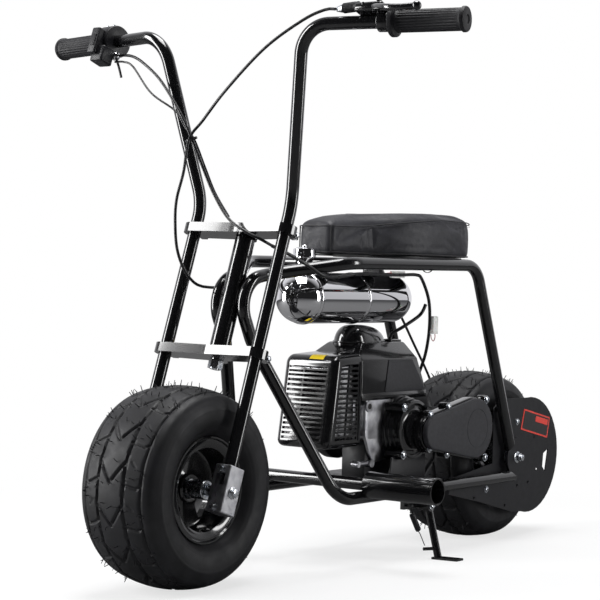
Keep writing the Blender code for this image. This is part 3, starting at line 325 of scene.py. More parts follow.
def make_finishes():
    """Every material by the name that the pieces use."""
    finishes = {
        "gloss_black": Finish("gloss_black", (0.0045, 0.0045, 0.005), 0.0, 0.16, Coat_Weight=0.6,
                              Coat_Roughness=0.05)
        .rough(12, 0.13, 0.18),
        "satin_black": Finish("satin_black", (0.007, 0.007, 0.009), 0.0, 0.42, Specular_IOR_Level=0.4)
        .rough(60, 0.36, 0.5).grain(900, 0.00005),
        "matte_black": Finish("matte_black", (0.016, 0.016, 0.02), 0.0, 0.62)
        .tint(160, (0.013, 0.013, 0.016), (0.02, 0.02, 0.025)).grain(1500, 0.00012),
        "rubber": Finish("tyre_rubber", (0.007, 0.007, 0.009), 0.0, 0.55, Specular_IOR_Level=0.3)
        .tint(22, (0.005, 0.005, 0.006), (0.01, 0.01, 0.012), 5).rough(45, 0.44, 0.62, 4).grain(500, 0.0001),
        "grip_rubber": Finish("grip_rubber", (0.006, 0.006, 0.008), 0.0, 0.52, Specular_IOR_Level=0.35)
        .rough(80, 0.48, 0.64).grain(1200, 0.00008),
        "vinyl": Finish("seat_vinyl", (0.02, 0.02, 0.026), 0.0, 0.5, Specular_IOR_Level=0.4)
        .tint(40, (0.016, 0.016, 0.02), (0.025, 0.025, 0.031), 4).rough(120, 0.44, 0.58).pebbles(700, 0.00012)
        .grain(320, 0.0001, 2),
        "piping": Finish("seat_piping", (0.016, 0.016, 0.018), 0.0, 0.45)
        .rough(200, 0.4, 0.55).pebbles(900, 0.00008),
        "chrome": Finish("polished_chrome", (0.83, 0.83, 0.85), 1.0, 0.04).rough(18, 0.025, 0.06),
        "cast_silver": Finish("cast_silver", (0.5, 0.5, 0.53), 1.0, 0.36)
        .tint(70, (0.42, 0.42, 0.45), (0.6, 0.6, 0.62)).rough(90, 0.28, 0.46).grain(650, 0.00016, 4),
        "zinc": Finish("zinc_plate", (0.66, 0.68, 0.71), 1.0, 0.24)
        .tint(120, (0.56, 0.6, 0.66), (0.76, 0.77, 0.78)).rough(300, 0.16, 0.34),
        "muffler_steel": Finish("muffler_steel", (0.7, 0.7, 0.71), 1.0, 0.22)
        .tint(30, (0.58, 0.58, 0.6), (0.82, 0.82, 0.82)).rough(60, 0.14, 0.34, 3, (1, 1, 6)),
        "cable_black": Finish("cable_sheath", (0.007, 0.007, 0.008), 0.0, 0.3).rough(150, 0.24, 0.4),
        "white_plastic": Finish("white_nylon", (0.72, 0.72, 0.7), 0.0, 0.42, Subsurface_Weight=0.05)
        .tint(120, (0.66, 0.66, 0.64), (0.78, 0.78, 0.76)),
        "red_wire": Finish("red_wire", (0.35, 0.01, 0.012), 0.0, 0.4).rough(200, 0.34, 0.48),
        "yellow_label": Finish("yellow_label", (0.86, 0.62, 0.01), 0.0, 0.38).rough(90, 0.3, 0.44),
        "red_label": Finish("red_label", (0.6, 0.045, 0.03), 0.0, 0.38).rough(90, 0.3, 0.44),
        # Black of the printed sticker field, also used as painted shade for the socket in one crankcase lug.
        "label_black": Finish("label_black", (0.02, 0.018, 0.018), 0.0, 0.35).rough(90, 0.28, 0.42),
        "oiled_steel": Finish("oiled_steel", (0.2, 0.2, 0.21), 1.0, 0.34)
        .tint(200, (0.12, 0.12, 0.13), (0.3, 0.3, 0.31)).rough(140, 0.24, 0.46),
    }
    return {name: finish.material for name, finish in finishes.items()}


FINISHES = make_finishes()


# Making meshes

def circle(centre, radius, sides=48, start=0.0, end=2 * math.pi):
    whole = abs(end - start) > 2 * math.pi - 0.001
    count = sides if whole else sides + 1
    return [(centre[0] + radius * math.cos(start + (end - start) * step / sides),
             centre[1] + radius * math.sin(start + (end - start) * step / sides)) for step in range(count)]


def rounded(corners, steps=16):
    """A path through corners, each (point, bend radius), with its bends as arcs."""
    points = [Vector(corners[0][0])]
    for before, (corner, radius), after in zip(corners, corners[1:], corners[2:]):
        corner = Vector(corner)
        if radius <= 0:
            points.append(corner)
            continue
        back = (Vector(before[0]) - corner).normalized()
        ahead = (Vector(after[0]) - corner).normalized()
        half = back.angle(ahead) / 2
        centre = corner + (back + ahead).normalized() * (radius / math.sin(half))
        first = corner + back * (radius / math.tan(half)) - centre
        last = corner + ahead * (radius / math.tan(half)) - centre
        sweep = first.angle(last)
        points += [centre + (first * math.sin((1 - step / steps) * sweep)
                             + last * math.sin(step / steps * sweep))
                   / math.sin(sweep) for step in range(steps + 1)]
    points.append(Vector(corners[-1][0]))
    return points


def toothed(centre, radius, teeth, tooth):
    """An outline of teeth round a centre. A tooth's points are (rise over the radius, angle)."""
    return [(centre[0] + (radius + rise) * math.cos(2 * math.pi * step / teeth + angle),
             centre[1] + (radius + rise) * math.sin(2 * math.pi * step / teeth + angle))
            for step in range(teeth) for rise, angle in tooth]


def ring_outline(corners, steps=10):
    """A closed outline through corners, each (spot, corner radius)."""
    closed = [corners[-1], *corners, corners[0]]
    return [(point.x, point.y) for point in rounded([(Vector((*spot, 0)), radius) for spot, radius in closed],
                                                    steps)[1:-1]]


def smooth(points, step=0.006):
    """Points about a step apart on a smooth curve through the chosen points."""
    points = [Vector(point) for point in points]
    path = [points[0]]
    for count in range(len(points) - 1):
        before, here = points[max(count - 1, 0)], points[count]
        there, after = points[count + 1], points[min(count + 2, len(points) - 1)]
        parts = max(1, round((there - here).length / step))
        for part in range(1, parts + 1):
            t = part / parts
            path.append(0.5 * (2 * here + (there - before) * t
                               + (2 * before - 5 * here + 4 * there - after) * t * t
                               + (3 * here - before - 3 * there + after) * t ** 3))
    return path


def new_object(name, mesh):
    thing = bpy.data.objects.new(name, mesh)
    bpy.context.scene.collection.objects.link(thing)
    return thing


def solid(name, build, place=BIKE, angle=35):
    """An object whose mesh is made by build(bmesh), in its final place."""
    shape = bmesh.new()
    build(shape)
    bmesh.ops.remove_doubles(shape, verts=shape.verts, dist=1e-6)
    shape.transform(place)
    bmesh.ops.recalc_face_normals(shape, faces=shape.faces)
    mesh = bpy.data.meshes.new(name)
    shape.to_mesh(mesh)
    shape.free()
    shade(mesh, angle)
    return new_object(name, mesh)


def shade(mesh, angle=35):
    mesh.shade_smooth()
    mesh.set_sharp_from_angle(angle=math.radians(angle))


def lathe(name, profile, place=BIKE, steps=96, closed=True, angle=35):
    """A turned piece round z. Its profile is (radius, height) points."""
    def build(shape):
        rings = []
        for step in range(steps):
            turn = 2 * math.pi * step / steps
            rings.append([shape.verts.new((radius * math.cos(turn), radius * math.sin(turn), height))
                          for radius, height in profile])
        count = len(profile) if closed else len(profile) - 1
        for ring, following in zip(rings, rings[1:] + rings[:1]):
            for row in range(count):
                after = (row + 1) % len(profile)
                corners = [ring[row], following[row], following[after], ring[after]]
                if profile[row][0] == 0:
                    corners = [ring[row], following[after], ring[after]]
                elif profile[after][0] == 0:
                    corners = [ring[row], following[row], ring[after]]
                shape.faces.new(corners)
    return solid(name, build, place, angle)


def slab(name, outline, thickness, place=BIKE, holes=(), angle=35):
    """A flat piece across the bike: a filled outline with holes, from half its thickness to the other."""
    curve = bpy.data.curves.new(name, "CURVE")
    curve.dimensions = "2D"
    curve.fill_mode = "BOTH"
    curve.extrude = thickness / 2
    for ring in (outline, *holes):
        line = curve.splines.new("POLY")
        line.use_cyclic_u = True
        line.points.add(len(ring) - 1)
        for point, target in zip(line.points, ring):
            point.co = (target[0], target[1], 0, 1)
    made = new_object(name, curve)
    bpy.context.view_layer.update()
    mesh = bpy.data.meshes.new_from_object(made.evaluated_get(bpy.context.evaluated_depsgraph_get()))
    bpy.data.objects.remove(made)
    bpy.data.curves.remove(curve)
    shape = bmesh.new()
    shape.from_mesh(mesh)
    bmesh.ops.remove_doubles(shape, verts=shape.verts, dist=1e-6)
    bmesh.ops.dissolve_limit(shape, angle_limit=0.01, verts=shape.verts, edges=shape.edges)
    shape.transform(place)
    bmesh.ops.recalc_face_normals(shape, faces=shape.faces)
    shape.to_mesh(mesh)
    shape.free()
    shade(mesh, angle)
    mesh.name = name
    return new_object(name, mesh)


def box(name, low, high, place=BIKE):
    low, high = Vector(low), Vector(high)

    def build(shape):
        bmesh.ops.create_cube(shape, size=1)
        bmesh.ops.scale(shape, vec=high - low, verts=shape.verts)
        bmesh.ops.translate(shape, vec=(low + high) / 2, verts=shape.verts)
    return solid(name, build, place)


def rod(name, start, end, radius, place=BIKE, sides=40, end_radius=None):
    start, end = Vector(start), Vector(end)
    turn = toward(end - start)

    def build(shape):
        bmesh.ops.create_cone(shape, cap_ends=True, segments=sides, radius1=radius,
                              radius2=radius if end_radius is None else end_radius,
                              depth=(end - start).length)
    return solid(name, build, place @ Matrix.Translation((start + end) / 2) @ turn)


def bake(thing, angle=35):
    """Applies the modifiers of a piece and shades it again."""
    bpy.context.view_layer.update()
    mesh = bpy.data.meshes.new_from_object(thing.evaluated_get(bpy.context.evaluated_depsgraph_get()))
    old = thing.data
    thing.modifiers.clear()
    thing.data = mesh
    bpy.data.meshes.remove(old)
    mesh.name = thing.name
    shade(mesh, angle)
    return thing


def combine(thing, tools, operation):
    for tool in tools:
        step = thing.modifiers.new("shape", "BOOLEAN")
        step.operation, step.object, step.solver = operation, tool, "EXACT"
    bake(thing)
    for tool in tools:
        bpy.data.objects.remove(tool)
    return thing


def cut(thing, *tools):
    return combine(thing, tools, "DIFFERENCE")


def join(thing, *tools):
    return combine(thing, tools, "UNION")


def merge(name, *things):
    """One mesh out of several closed pieces that only touch."""
    shape = bmesh.new()
    for thing in things:
        shape.from_mesh(thing.data)
    mesh = bpy.data.meshes.new(name)
    shape.to_mesh(mesh)
    shape.free()
    for thing in things:
        bpy.data.objects.remove(thing)
    shade(mesh)
    return new_object(name, mesh)


def soften(thing, width, segments=3, angle=40):
    step = thing.modifiers.new("edges", "BEVEL")
    step.width, step.segments = width, segments
    step.limit_method, step.angle_limit = "ANGLE", math.radians(angle)
    return bake(thing)


def dress(thing, finish, body, replaces=()):
    """Gives a finished piece its material and body, and hides the CAD nodes that it stands for."""
    thing.data.materials.clear()
    thing.data.materials.append(FINISHES[finish])
    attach(thing, body)
    if replaces:
        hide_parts(*replaces)
    return thing


# Geometry Nodes

def new_tree(name, inputs):
    tree = bpy.data.node_groups.new(name, "GeometryNodeTree")
    tree.interface.new_socket("Geometry", in_out="INPUT", socket_type="NodeSocketGeometry")
    for label, kind, default in inputs:
        socket = tree.interface.new_socket(label, in_out="INPUT", socket_type=kind)
        if default is not None:
            socket.default_value = default
    tree.interface.new_socket("Geometry", in_out="OUTPUT", socket_type="NodeSocketGeometry")
    return tree, tree.nodes.new("NodeGroupInput"), tree.nodes.new("NodeGroupOutput")


def finish_tree(tree, given, result, geometry):
    """Every tree ends in Realize Instances and Set Material."""
    realize = tree.nodes.new("GeometryNodeRealizeInstances")
    paint = tree.nodes.new("GeometryNodeSetMaterial")
    tree.links.new(geometry, realize.inputs["Geometry"])
    link(tree, realize, "Geometry", paint, "Geometry")
    link(tree, given, "Material", paint, "Material")
    link(tree, paint, "Geometry", result, "Geometry")
    return tree


def tube_tree():
    """A round tube with closed ends along every edge chain."""
    tree, given, result = new_tree("tube_along_path", (
        ("Radius", "NodeSocketFloat", 0.01), ("Sides", "NodeSocketInt", 32),
        ("Material", "NodeSocketMaterial", None)))
    line = tree.nodes.new("GeometryNodeMeshToCurve")
    profile = tree.nodes.new("GeometryNodeCurvePrimitiveCircle")
    sweep = tree.nodes.new("GeometryNodeCurveToMesh")
    sweep.inputs["Fill Caps"].default_value = True
    link(tree, given, "Geometry", line, "Mesh")
    link(tree, given, "Radius", profile, "Radius")
    link(tree, given, "Sides", profile, "Resolution")
    link(tree, line, "Curve", sweep, "Curve")
    link(tree, profile, "Curve", sweep, "Profile Curve")
    return finish_tree(tree, given, result, sweep.outputs["Mesh"])


def repeat_tree():
    """A copy of one piece on every point, turned and sized by the point's own values."""
    tree, given, result = new_tree("piece_on_points", (
        ("Piece", "NodeSocketObject", None), ("Size", "NodeSocketFloat", 1.0),
        ("Material", "NodeSocketMaterial", None)))
    piece = tree.nodes.new("GeometryNodeObjectInfo")
    copies = tree.nodes.new("GeometryNodeInstanceOnPoints")
    turn = tree.nodes.new("GeometryNodeInputNamedAttribute")
    turn.data_type = "FLOAT_VECTOR"
    turn.inputs["Name"].default_value = "turn"
    size = tree.nodes.new("GeometryNodeInputNamedAttribute")
    size.data_type = "FLOAT"
    size.inputs["Name"].default_value = "size"
    times = tree.nodes.new("ShaderNodeMath")
    times.operation = "MULTIPLY"
    rotation = tree.nodes.new("FunctionNodeEulerToRotation")
    link(tree, given, "Geometry", copies, "Points")
    link(tree, given, "Piece", piece, "Object")
    link(tree, piece, "Geometry", copies, "Instance")
    link(tree, turn, "Attribute", rotation, "Euler")
    link(tree, rotation, "Rotation", copies, "Rotation")
    link(tree, size, "Attribute", times, 0)
    link(tree, given, "Size", times, 1)
    link(tree, times, "Value", copies, "Scale")
    return finish_tree(tree, given, result, copies.outputs["Instances"])


TUBE_TREE = tube_tree()
REPEAT_TREE = repeat_tree()


def run_tree(thing, tree, **values):
    """Runs a tree on a piece with its named inputs and leaves a plain mesh."""
    step = thing.modifiers.new("tree", "NODES")
    step.node_group = tree
    for item in tree.interface.items_tree:
        if item.in_out == "INPUT" and item.name in values:
            step[item.identifier] = values[item.name]
    return bake(thing)


def tube(name, path, radius, finish, place=BIKE, sides=32):
    mesh = bpy.data.meshes.new(name)
    mesh.from_pydata([place @ Vector(point) for point in path],
                     [(step, step + 1) for step in range(len(path) - 1)], [])
    return run_tree(new_object(name, mesh), TUBE_TREE, Radius=radius, Sides=sides, Material=FINISHES[finish])


def repeat(name, piece, spots, finish, place=BIKE):
    """Copies of a template piece. Each spot is (place, direction of the template's z, size)."""
    mesh = bpy.data.meshes.new(name)
    mesh.from_pydata([place @ Vector(spot[0]) for spot in spots], [], [])
    spin = place.to_3x3()
    turns = [(spin @ facing if isinstance(facing, Matrix)
              else (spin @ Vector(facing)).to_track_quat("Z", "Y")).to_euler()
             for _, facing, _ in spots]
    # Each attribute is filled at once, because adding the next one would leave its reference stale.
    stored = mesh.attributes.new("turn", "FLOAT_VECTOR", "POINT")
    stored.data.foreach_set("vector", [part for turn in turns for part in turn])
    stored = mesh.attributes.new("size", "FLOAT", "POINT")
    stored.data.foreach_set("value", [size for _, _, size in spots])
    return run_tree(new_object(name, mesh), REPEAT_TREE, Piece=piece, Size=1.0, Material=FINISHES[finish])


# Templates of bolt and screw heads, standing on z = 0

def hex_bolt():
    """Flanged hex head with a slight dome."""
    head = rod("hex_head", (0, 0, 0.001), (0, 0, 0.0052), 0.005, Matrix(), 6)
    soften(head, 0.0004, 2)
    washer = lathe("hex_washer", [(0, 0), (0.0066, 0), (0.0066, 0.0006), (0.0056, 0.0012), (0, 0.0012)],
                   Matrix(), 32, closed=False)
    return merge("hex_bolt", washer, head)


def pan_screw():
    """Round head with a washer and a cross recess."""
    head = lathe("pan_head", [(0, 0), (0.005, 0), (0.005, 0.0018), (0.0042, 0.0032), (0.0026, 0.0038),
                              (0, 0.004)], Matrix(), 32, closed=False)
    cut(head, box("slot_a", (-0.003, -0.0005, 0.0022), (0.003, 0.0005, 0.01), Matrix()),
        box("slot_b", (-0.0005, -0.003, 0.0022), (0.0005, 0.003, 0.01), Matrix()))
    washer = lathe("pan_washer", [(0, -0.0004), (0.0068, -0.0004), (0.0068, 0.0006), (0, 0.0006)], Matrix(),
                   32, closed=False)
    return merge("pan_screw", washer, head)


# The pieces

# Groove lines of one pitch of tread: start and end, each across (m) and along (pitches), half width, depth
TREAD_LINES = (
    ((0.0, 0.0), (0.026, -0.52), 0.0018, 0.0034), ((0.0, 0.0), (-0.026, -0.46), 0.0018, 0.0034),
    ((0.026, 0.02), (0.05, 0.1), 0.0018, 0.0034), ((0.05, 0.1), (0.057, 0.02), 0.0014, 0.0026),
    ((-0.026, -0.1), (-0.05, 0.06), 0.0018, 0.0034), ((-0.05, 0.06), (-0.057, 0.0), 0.0014, 0.0026),
    ((0.036, -0.52), (0.044, -0.4), 0.0008, 0.0013), ((-0.036, -0.58), (-0.044, -0.44), 0.0008, 0.0013),
)
# Grooves that run round the tyre: across, swing (m), half width, depth
TREAD_RINGS = ((0.0265, 0.0012, 0.0017, 0.0034), (-0.0265, 0.0012, 0.0017, 0.0034),
               (0.0575, 0.0008, 0.0013, 0.0024), (-0.0575, 0.0008, 0.0013, 0.0024))


def tyre_section(steps):
    """Radius and place across of the tyre's outside, from the left bead to the right one."""
    half = [(TYRE_RADIUS - (TREAD_HALF * share) ** 2 / (2 * CROWN_RADIUS), TREAD_HALF * share)
            for share in (0.0, 0.25, 0.5, 0.75, 1.0)]
    edge = half[-1][0]
    half += [(edge - 0.006, TREAD_HALF + 0.0135), (edge - 0.015, TYRE_HALF - 0.0045),
             (edge - 0.026, TYRE_HALF - 0.0006), (RIM_RADIUS + 0.03, TYRE_HALF - 0.0004),
             (RIM_RADIUS + 0.018, TYRE_HALF - 0.003), (RIM_RADIUS + 0.009, TYRE_HALF - 0.0085),
             (RIM_RADIUS + 0.0035, RIM_HALF + 0.0045), (RIM_RADIUS - 0.001, RIM_HALF - 0.001)]
    corners = [(radius, across) for radius, across in reversed(half)] + [(r, -a) for r, a in half[1:]]
    path = smooth([(radius, across, 0) for radius, across in corners], 0.0002)
    lengths = np.concatenate([[0], np.cumsum([(b - a).length for a, b in zip(path, path[1:])])])
    spots = np.linspace(0, lengths[-1], steps)
    return (np.interp(spots, lengths, [p.x for p in path]), np.interp(spots, lengths, [p.y for p in path]))


def groove_depth(across, along, pitch):
    """Depth of the tread's grooves over a grid of points."""
    depth = np.zeros_like(across)
    for start, end, width, deep in TREAD_LINES:
        for shift in (-1, 0, 1, 2):
            ax, ay = start[0], (start[1] + shift) * pitch
            bx, by = end[0], (end[1] + shift) * pitch
            share = np.clip(((across - ax) * (bx - ax) + (along - ay) * (by - ay))
                            / ((bx - ax) ** 2 + (by - ay) ** 2), 0, 1)
            away = np.hypot(across - ax - share * (bx - ax), along - ay - share * (by - ay))
            depth = np.maximum(depth, deep * np.clip(1.6 - away / width, 0, 1))
    for centre, swing, width, deep in TREAD_RINGS:
        wave = centre + swing * (2 * np.abs(2 * (along / pitch) - 1) - 1)
        depth = np.maximum(depth, deep * np.clip(1.6 - np.abs(across - wave) / width, 0, 1))
    return depth


def tyre_mesh(name, place, pitches, around=750, rows=124):
    radius, across = tyre_section(rows)
    pitch = 2 * math.pi * TYRE_RADIUS / pitches
    angle = np.arange(around) * 2 * math.pi / around
    grid_across, grid_angle = np.meshgrid(across, angle)
    grid_radius = np.repeat(radius[None, :], around, 0)
    along = (grid_angle * TYRE_RADIUS) % pitch
    tread = (np.abs(grid_across) < 0.064) & (grid_radius > TYRE_RADIUS - 0.016)
    depth = np.where(tread, groove_depth(grid_across, along, pitch), 0)
    for ring, rise, width in ((0.1435, 0.0008, 0.0012), (0.131, 0.0007, 0.001), (0.106, 0.0009, 0.0012),
                              (0.0985, 0.0006, 0.0009)):
        depth -= np.where(np.abs(grid_across) > 0.06,
                          rise * np.clip(1 - np.abs(grid_radius - ring) / width, 0, 1), 0)
    normal_r = np.gradient(across)
    normal_a = -np.gradient(radius)
    size = np.hypot(normal_r, normal_a)
    grid_radius = grid_radius + depth * normal_r / size
    grid_across = grid_across + depth * normal_a / size
    places = np.stack([grid_across, grid_radius * np.cos(grid_angle), grid_radius * np.sin(grid_angle)], -1)
    places = places.reshape(-1, 3)
    step = np.arange(around)[:, None] * rows
    following = (np.roll(np.arange(around), -1))[:, None] * rows
    row = np.arange(rows)[None, :]
    after = np.roll(np.arange(rows), -1)[None, :]
    faces = np.stack([step + row, step + after, following + after, following + row], -1).reshape(-1, 4)
    mesh = bpy.data.meshes.new(name)
    mesh.from_pydata(places.tolist(), [], faces.tolist())
    mesh.transform(place)
    shape = bmesh.new()
    shape.from_mesh(mesh)
    bmesh.ops.recalc_face_normals(shape, faces=shape.faces)
    shape.to_mesh(mesh)
    shape.free()
    shade(mesh, 50)
    return new_object(name, mesh)


def spew_spots(place, count):
    """Where the fine moulding hairs stand on a new tyre, away from the floor."""
    spots = []
    for step in range(count):
        angle = step * GOLDEN_ANGLE
        across = 0.063 * math.sin(step * 1.7)
        crown = TYRE_RADIUS - across * across / (2 * CROWN_RADIUS)
        radius = crown - 0.0006 - 0.4 * max(0, abs(across) - TREAD_HALF)
        spot = Vector((across, radius * math.cos(angle), radius * math.sin(angle)))
        if (place @ spot).z < 0.02:
            continue
        lean = Vector((math.sin(step * 3.1) * 0.5, math.cos(angle + 0.4 * math.sin(step * 5.3)),
                       math.sin(angle + 0.4 * math.sin(step * 5.3))))
        spots.append((spot, lean.normalized(), 0.6 + 0.5 * abs(math.sin(step * 2.3))))
    return spots


def rim(prefix, place):
    """One turned section with its lips rolled, windows cut through the web and a bearing in the hub."""
    inner = RIM_BARREL - RIM_WALL
    flange = RIM_HALF + RIM_FLANGE

    def half(side):
        web = WEB_PLACE + side * WEB_WALL / 2
        face = HUB_FACE if side > 0 else HUB_HALF
        points = [
            (HUB_RADIUS - 0.0065, side * face), (HUB_RADIUS - 0.002, side * face),
            (HUB_RADIUS, side * (face - 0.002)), (HUB_RADIUS + 0.0005, web + side * 0.006),
            (HUB_RADIUS + 0.006, web + side * 0.003), (inner - 0.008, web + side * 0.002),
            (inner - 0.003, web + side * 0.004), (inner, web + side * 0.01), (inner, side * (flange - 0.016)),
            (inner + 0.001, side * (flange - 0.006)), (RIM_BARREL + 0.003, side * (flange - 0.0035)),
            (RIM_RADIUS - 0.006, side * (flange - 0.003)), (RIM_RADIUS - 0.004, side * flange),
            (RIM_RADIUS - 0.0012, side * flange), (RIM_RADIUS, side * (flange - 0.0012)),
            (RIM_RADIUS, side * (RIM_HALF + GAP)), (RIM_RADIUS - 0.006, side * (RIM_HALF + GAP)),
            (RIM_BARREL + 0.002, side * (RIM_HALF - 0.004)), (RIM_BARREL, side * (RIM_HALF - 0.01)),
        ]
        return points

    right = half(-1)
    profile = [(AXLE_BORE + 0.006, HUB_FACE - 0.003)] + half(1) + list(reversed(right)) + [
        (AXLE_BORE + 0.006, -HUB_HALF + 0.003)]
    wheel = lathe(prefix + "_rim_dress", profile, place @ ALONG_X, 120)
    windows = []
    for count in range(WINDOW_COUNT):
        angle = 2 * math.pi * (count + 0.79) / WINDOW_COUNT
        outline = ring_outline([
            ((WINDOW_CIRCLE + 0.0145, -0.0235), 0.006), ((WINDOW_CIRCLE + 0.0145, 0.0235), 0.006),
            ((WINDOW_CIRCLE - 0.013, 0.009), 0.004), ((WINDOW_CIRCLE - 0.013, -0.009), 0.004)], 6)
        windows.append(slab("window", outline, 0.06, place @ Matrix.Translation((WEB_PLACE, 0, 0))
                            @ Matrix.Rotation(angle, 4, "X") @ ACROSS))
    cut(wheel, *windows)
    bearing = []
    for side in (1, -1):
        face = HUB_FACE - 0.0015 if side > 0 else 0.0015 - HUB_HALF
        bearing.append(lathe("bearing", [
            (AXLE_BORE + 0.0004, face), (0.0098, face), (0.01, face - side * 0.0008),
            (0.014, face - side * 0.0008), (0.0142, face), (0.0172, face), (0.0172, face - side * 0.006),
            (AXLE_BORE + 0.0004, face - side * 0.006)],
            place @ ALONG_X, 64))
    return wheel, merge(prefix + "_bearings", *bearing)


def wheels(settings):
    """Treaded tyres with their moulding hairs, turned rims and bearings."""
    for prefix, place, body in (("front", FRONT_WHEEL, "front_wheel"), ("rear", REAR_WHEEL, "rear_wheel")):
        tyre = tyre_mesh(prefix + "_tread_tyre", place, settings.pitches)
        dress(tyre, "rubber", body, replaces=(prefix + "_tyre",))
        hair = rod("hair", (0, 0, -0.0012), (0, 0, 0.0095), 0.00085, Matrix(), 5, 0.00055)
        spews = repeat(prefix + "_moulding_hairs", hair, spew_spots(place, settings.hairs), "rubber", place)
        dress(spews, "rubber", body)
        bpy.data.objects.remove(hair)
        wheel, bearing = rim(prefix, place)
        dress(wheel, "gloss_black", body, replaces=(prefix + "_rim",))
        dress(bearing, "zinc", body)


def loop_path(sign):
    return [
        ((sign * RAIL_HALF, REAR_AXLE.y - 0.02, REAR_AXLE.z + 0.01), 0),
        ((sign * RAIL_HALF, REAR_BEND, RAIL_HEIGHT + 0.004), 0.05),
        ((sign * RAIL_HALF, -0.135, RAIL_HEIGHT), 0.08),
        ((sign * NECK_HALF, -0.262, 0.5125), 0.045),
        ((sign * NECK_HALF, -0.3477, 0.4967), 0.05),
        ((sign * NECK_HALF, -0.2983, 0.401), 0.05),
        ((sign * RAIL_HALF, -0.157, SILL_HEIGHT), 0.065),
        ((sign * RAIL_HALF, REAR_AXLE.y - 0.012, SILL_HEIGHT), 0),
    ]


def tubes():
    """Frame loops, fork tubes, head tube and foot peg bar."""
    for side, sign in SIDES:
        loop = tube(side + "_frame_loop", rounded(loop_path(sign), 18), TUBE_RADIUS, "gloss_black", sides=36)
        cut(loop, rod("mouth", (sign * RAIL_HALF - 0.02, *DROPOUT_CENTRE),
                      (sign * RAIL_HALF + 0.02, *DROPOUT_CENTRE), DROPOUT_RADIUS + GAP, sides=72))
        dress(loop, "gloss_black", "frame", replaces=(side + "_upper_loop", side + "_lower_loop"))
        bar = rounded([
            ((sign * FORK_HALF, -FORK_OFFSET, TUBE_FOOT), 0),
            ((sign * FORK_HALF, -FORK_OFFSET, BAR_KINK), 0.1),
            (mirrored(BAR_CORNER, sign), 0.055), (mirrored(BAR_END, sign), 0)], 22)
        dress(tube(side + "_fork_bar", bar, TUBE_RADIUS, "gloss_black", STEERING, 36), "gloss_black", "fork",
              replaces=(side + "_fork_tube",))
    low = CLAMPS[0] + CLAMP_HEIGHT / 2 + 0.001
    high = CLAMPS[1] - CLAMP_HEIGHT / 2 - 0.001
    head = lathe("head_tube_dress", [
        (HEAD_RADIUS - 0.001, low), (HEAD_RADIUS, low + 0.001), (HEAD_RADIUS, high - 0.001),
        (HEAD_RADIUS - 0.001, high), (0.009, high), (0.009, low)], STEERING, 64)
    dress(head, "gloss_black", "frame", replaces=("head_tube",))
    height = SILL_HEIGHT + 2 * TUBE_RADIUS + GAP
    inner = RAIL_HALF + TUBE_RADIUS + GAP
    pieces = [rod("peg_bar", (-inner - 0.004, PEG_PLACE, height), (inner + 0.004, PEG_PLACE, height),
                  TUBE_RADIUS)]
    for sign in (1, -1):
        bore = PEG_RADIUS - PEG_WALL
        sleeve = lathe("sleeve", [
            (0, sign * inner), (PEG_RADIUS - 0.0006, sign * inner), (PEG_RADIUS, sign * (inner + 0.0006)),
            (PEG_RADIUS, sign * (PEG_REACH - 0.0006)), (PEG_RADIUS - 0.0006, sign * PEG_REACH),
            (bore + 0.0006, sign * PEG_REACH), (bore, sign * (PEG_REACH - 0.0006)),
            (bore, sign * (inner + 0.003)), (0, sign * (inner + 0.003))],
            on_bike(0, PEG_PLACE, height) @ ALONG_X, 72, closed=False)
        cut(sleeve, rod("cross_hole", (sign * 0.206, PEG_PLACE - 0.05, height - 0.004),
                        (sign * 0.206, PEG_PLACE + 0.05, height - 0.004), 0.0042, sides=24))
        pieces.append(sleeve)
    dress(merge("foot_pegs", *pieces), "gloss_black", "frame", replaces=("foot_peg_bar",))


def bar_end(sign):
    """Outer end of one fork tube, the direction outwards there, and the inner end of its grip."""
    end = mirrored(BAR_END, sign)
    outward = (end - mirrored(BAR_CORNER, sign)).normalized()
    return end, outward, end + outward * (GRIP_CAP - GRIP_LENGTH - 0.001)


def grips():
    """Fluted rubber grips with an inner flange and a closed end."""
    for side, sign in SIDES:
        end, outward, _ = bar_end(sign)
        place = STEERING @ Matrix.Translation(end + outward * GRIP_CAP) @ toward(outward)
        profile = [(0, -0.0016), (0.0062, -0.0016), (0.0076, 0.0), (0.0165, 0.0), (0.0195, -0.0012),
                   (0.0204, -0.003), (0.0204, -0.0068), (0.019, -0.0082), (0.0182, -0.0105), (0.0182, -0.014),
                   (0.0182, -0.015), (0.0182, -GRIP_LENGTH + 0.016), (0.0182, -GRIP_LENGTH + 0.015),
                   (0.0184, -GRIP_LENGTH + 0.0105), (0.0245, -GRIP_LENGTH + 0.008),
                   (0.025, -GRIP_LENGTH + 0.0068), (0.025, -GRIP_LENGTH + 0.001), (0.0243, -GRIP_LENGTH),
                   (TUBE_RADIUS + GAP, -GRIP_LENGTH), (TUBE_RADIUS + GAP, -GRIP_CAP), (0, -GRIP_CAP)]
        grip = lathe(side + "_ribbed_grip", profile, place, 120, closed=False, angle=30)
        local = place.inverted()
        for vertex in grip.data.vertices:
            spot = local @ vertex.co
            fluted = 0.018 < spot.xy.length < 0.0184 and -GRIP_LENGTH + 0.0155 < spot.z < -0.0145
            if fluted and round(math.atan2(spot.y, spot.x) * 60 / math.pi) % 5 < 2:
                vertex.co = place @ Vector((spot.x * 0.925, spot.y * 0.925, spot.z))
        dress(grip, "grip_rubber", "fork", replaces=(side + "_grip",))


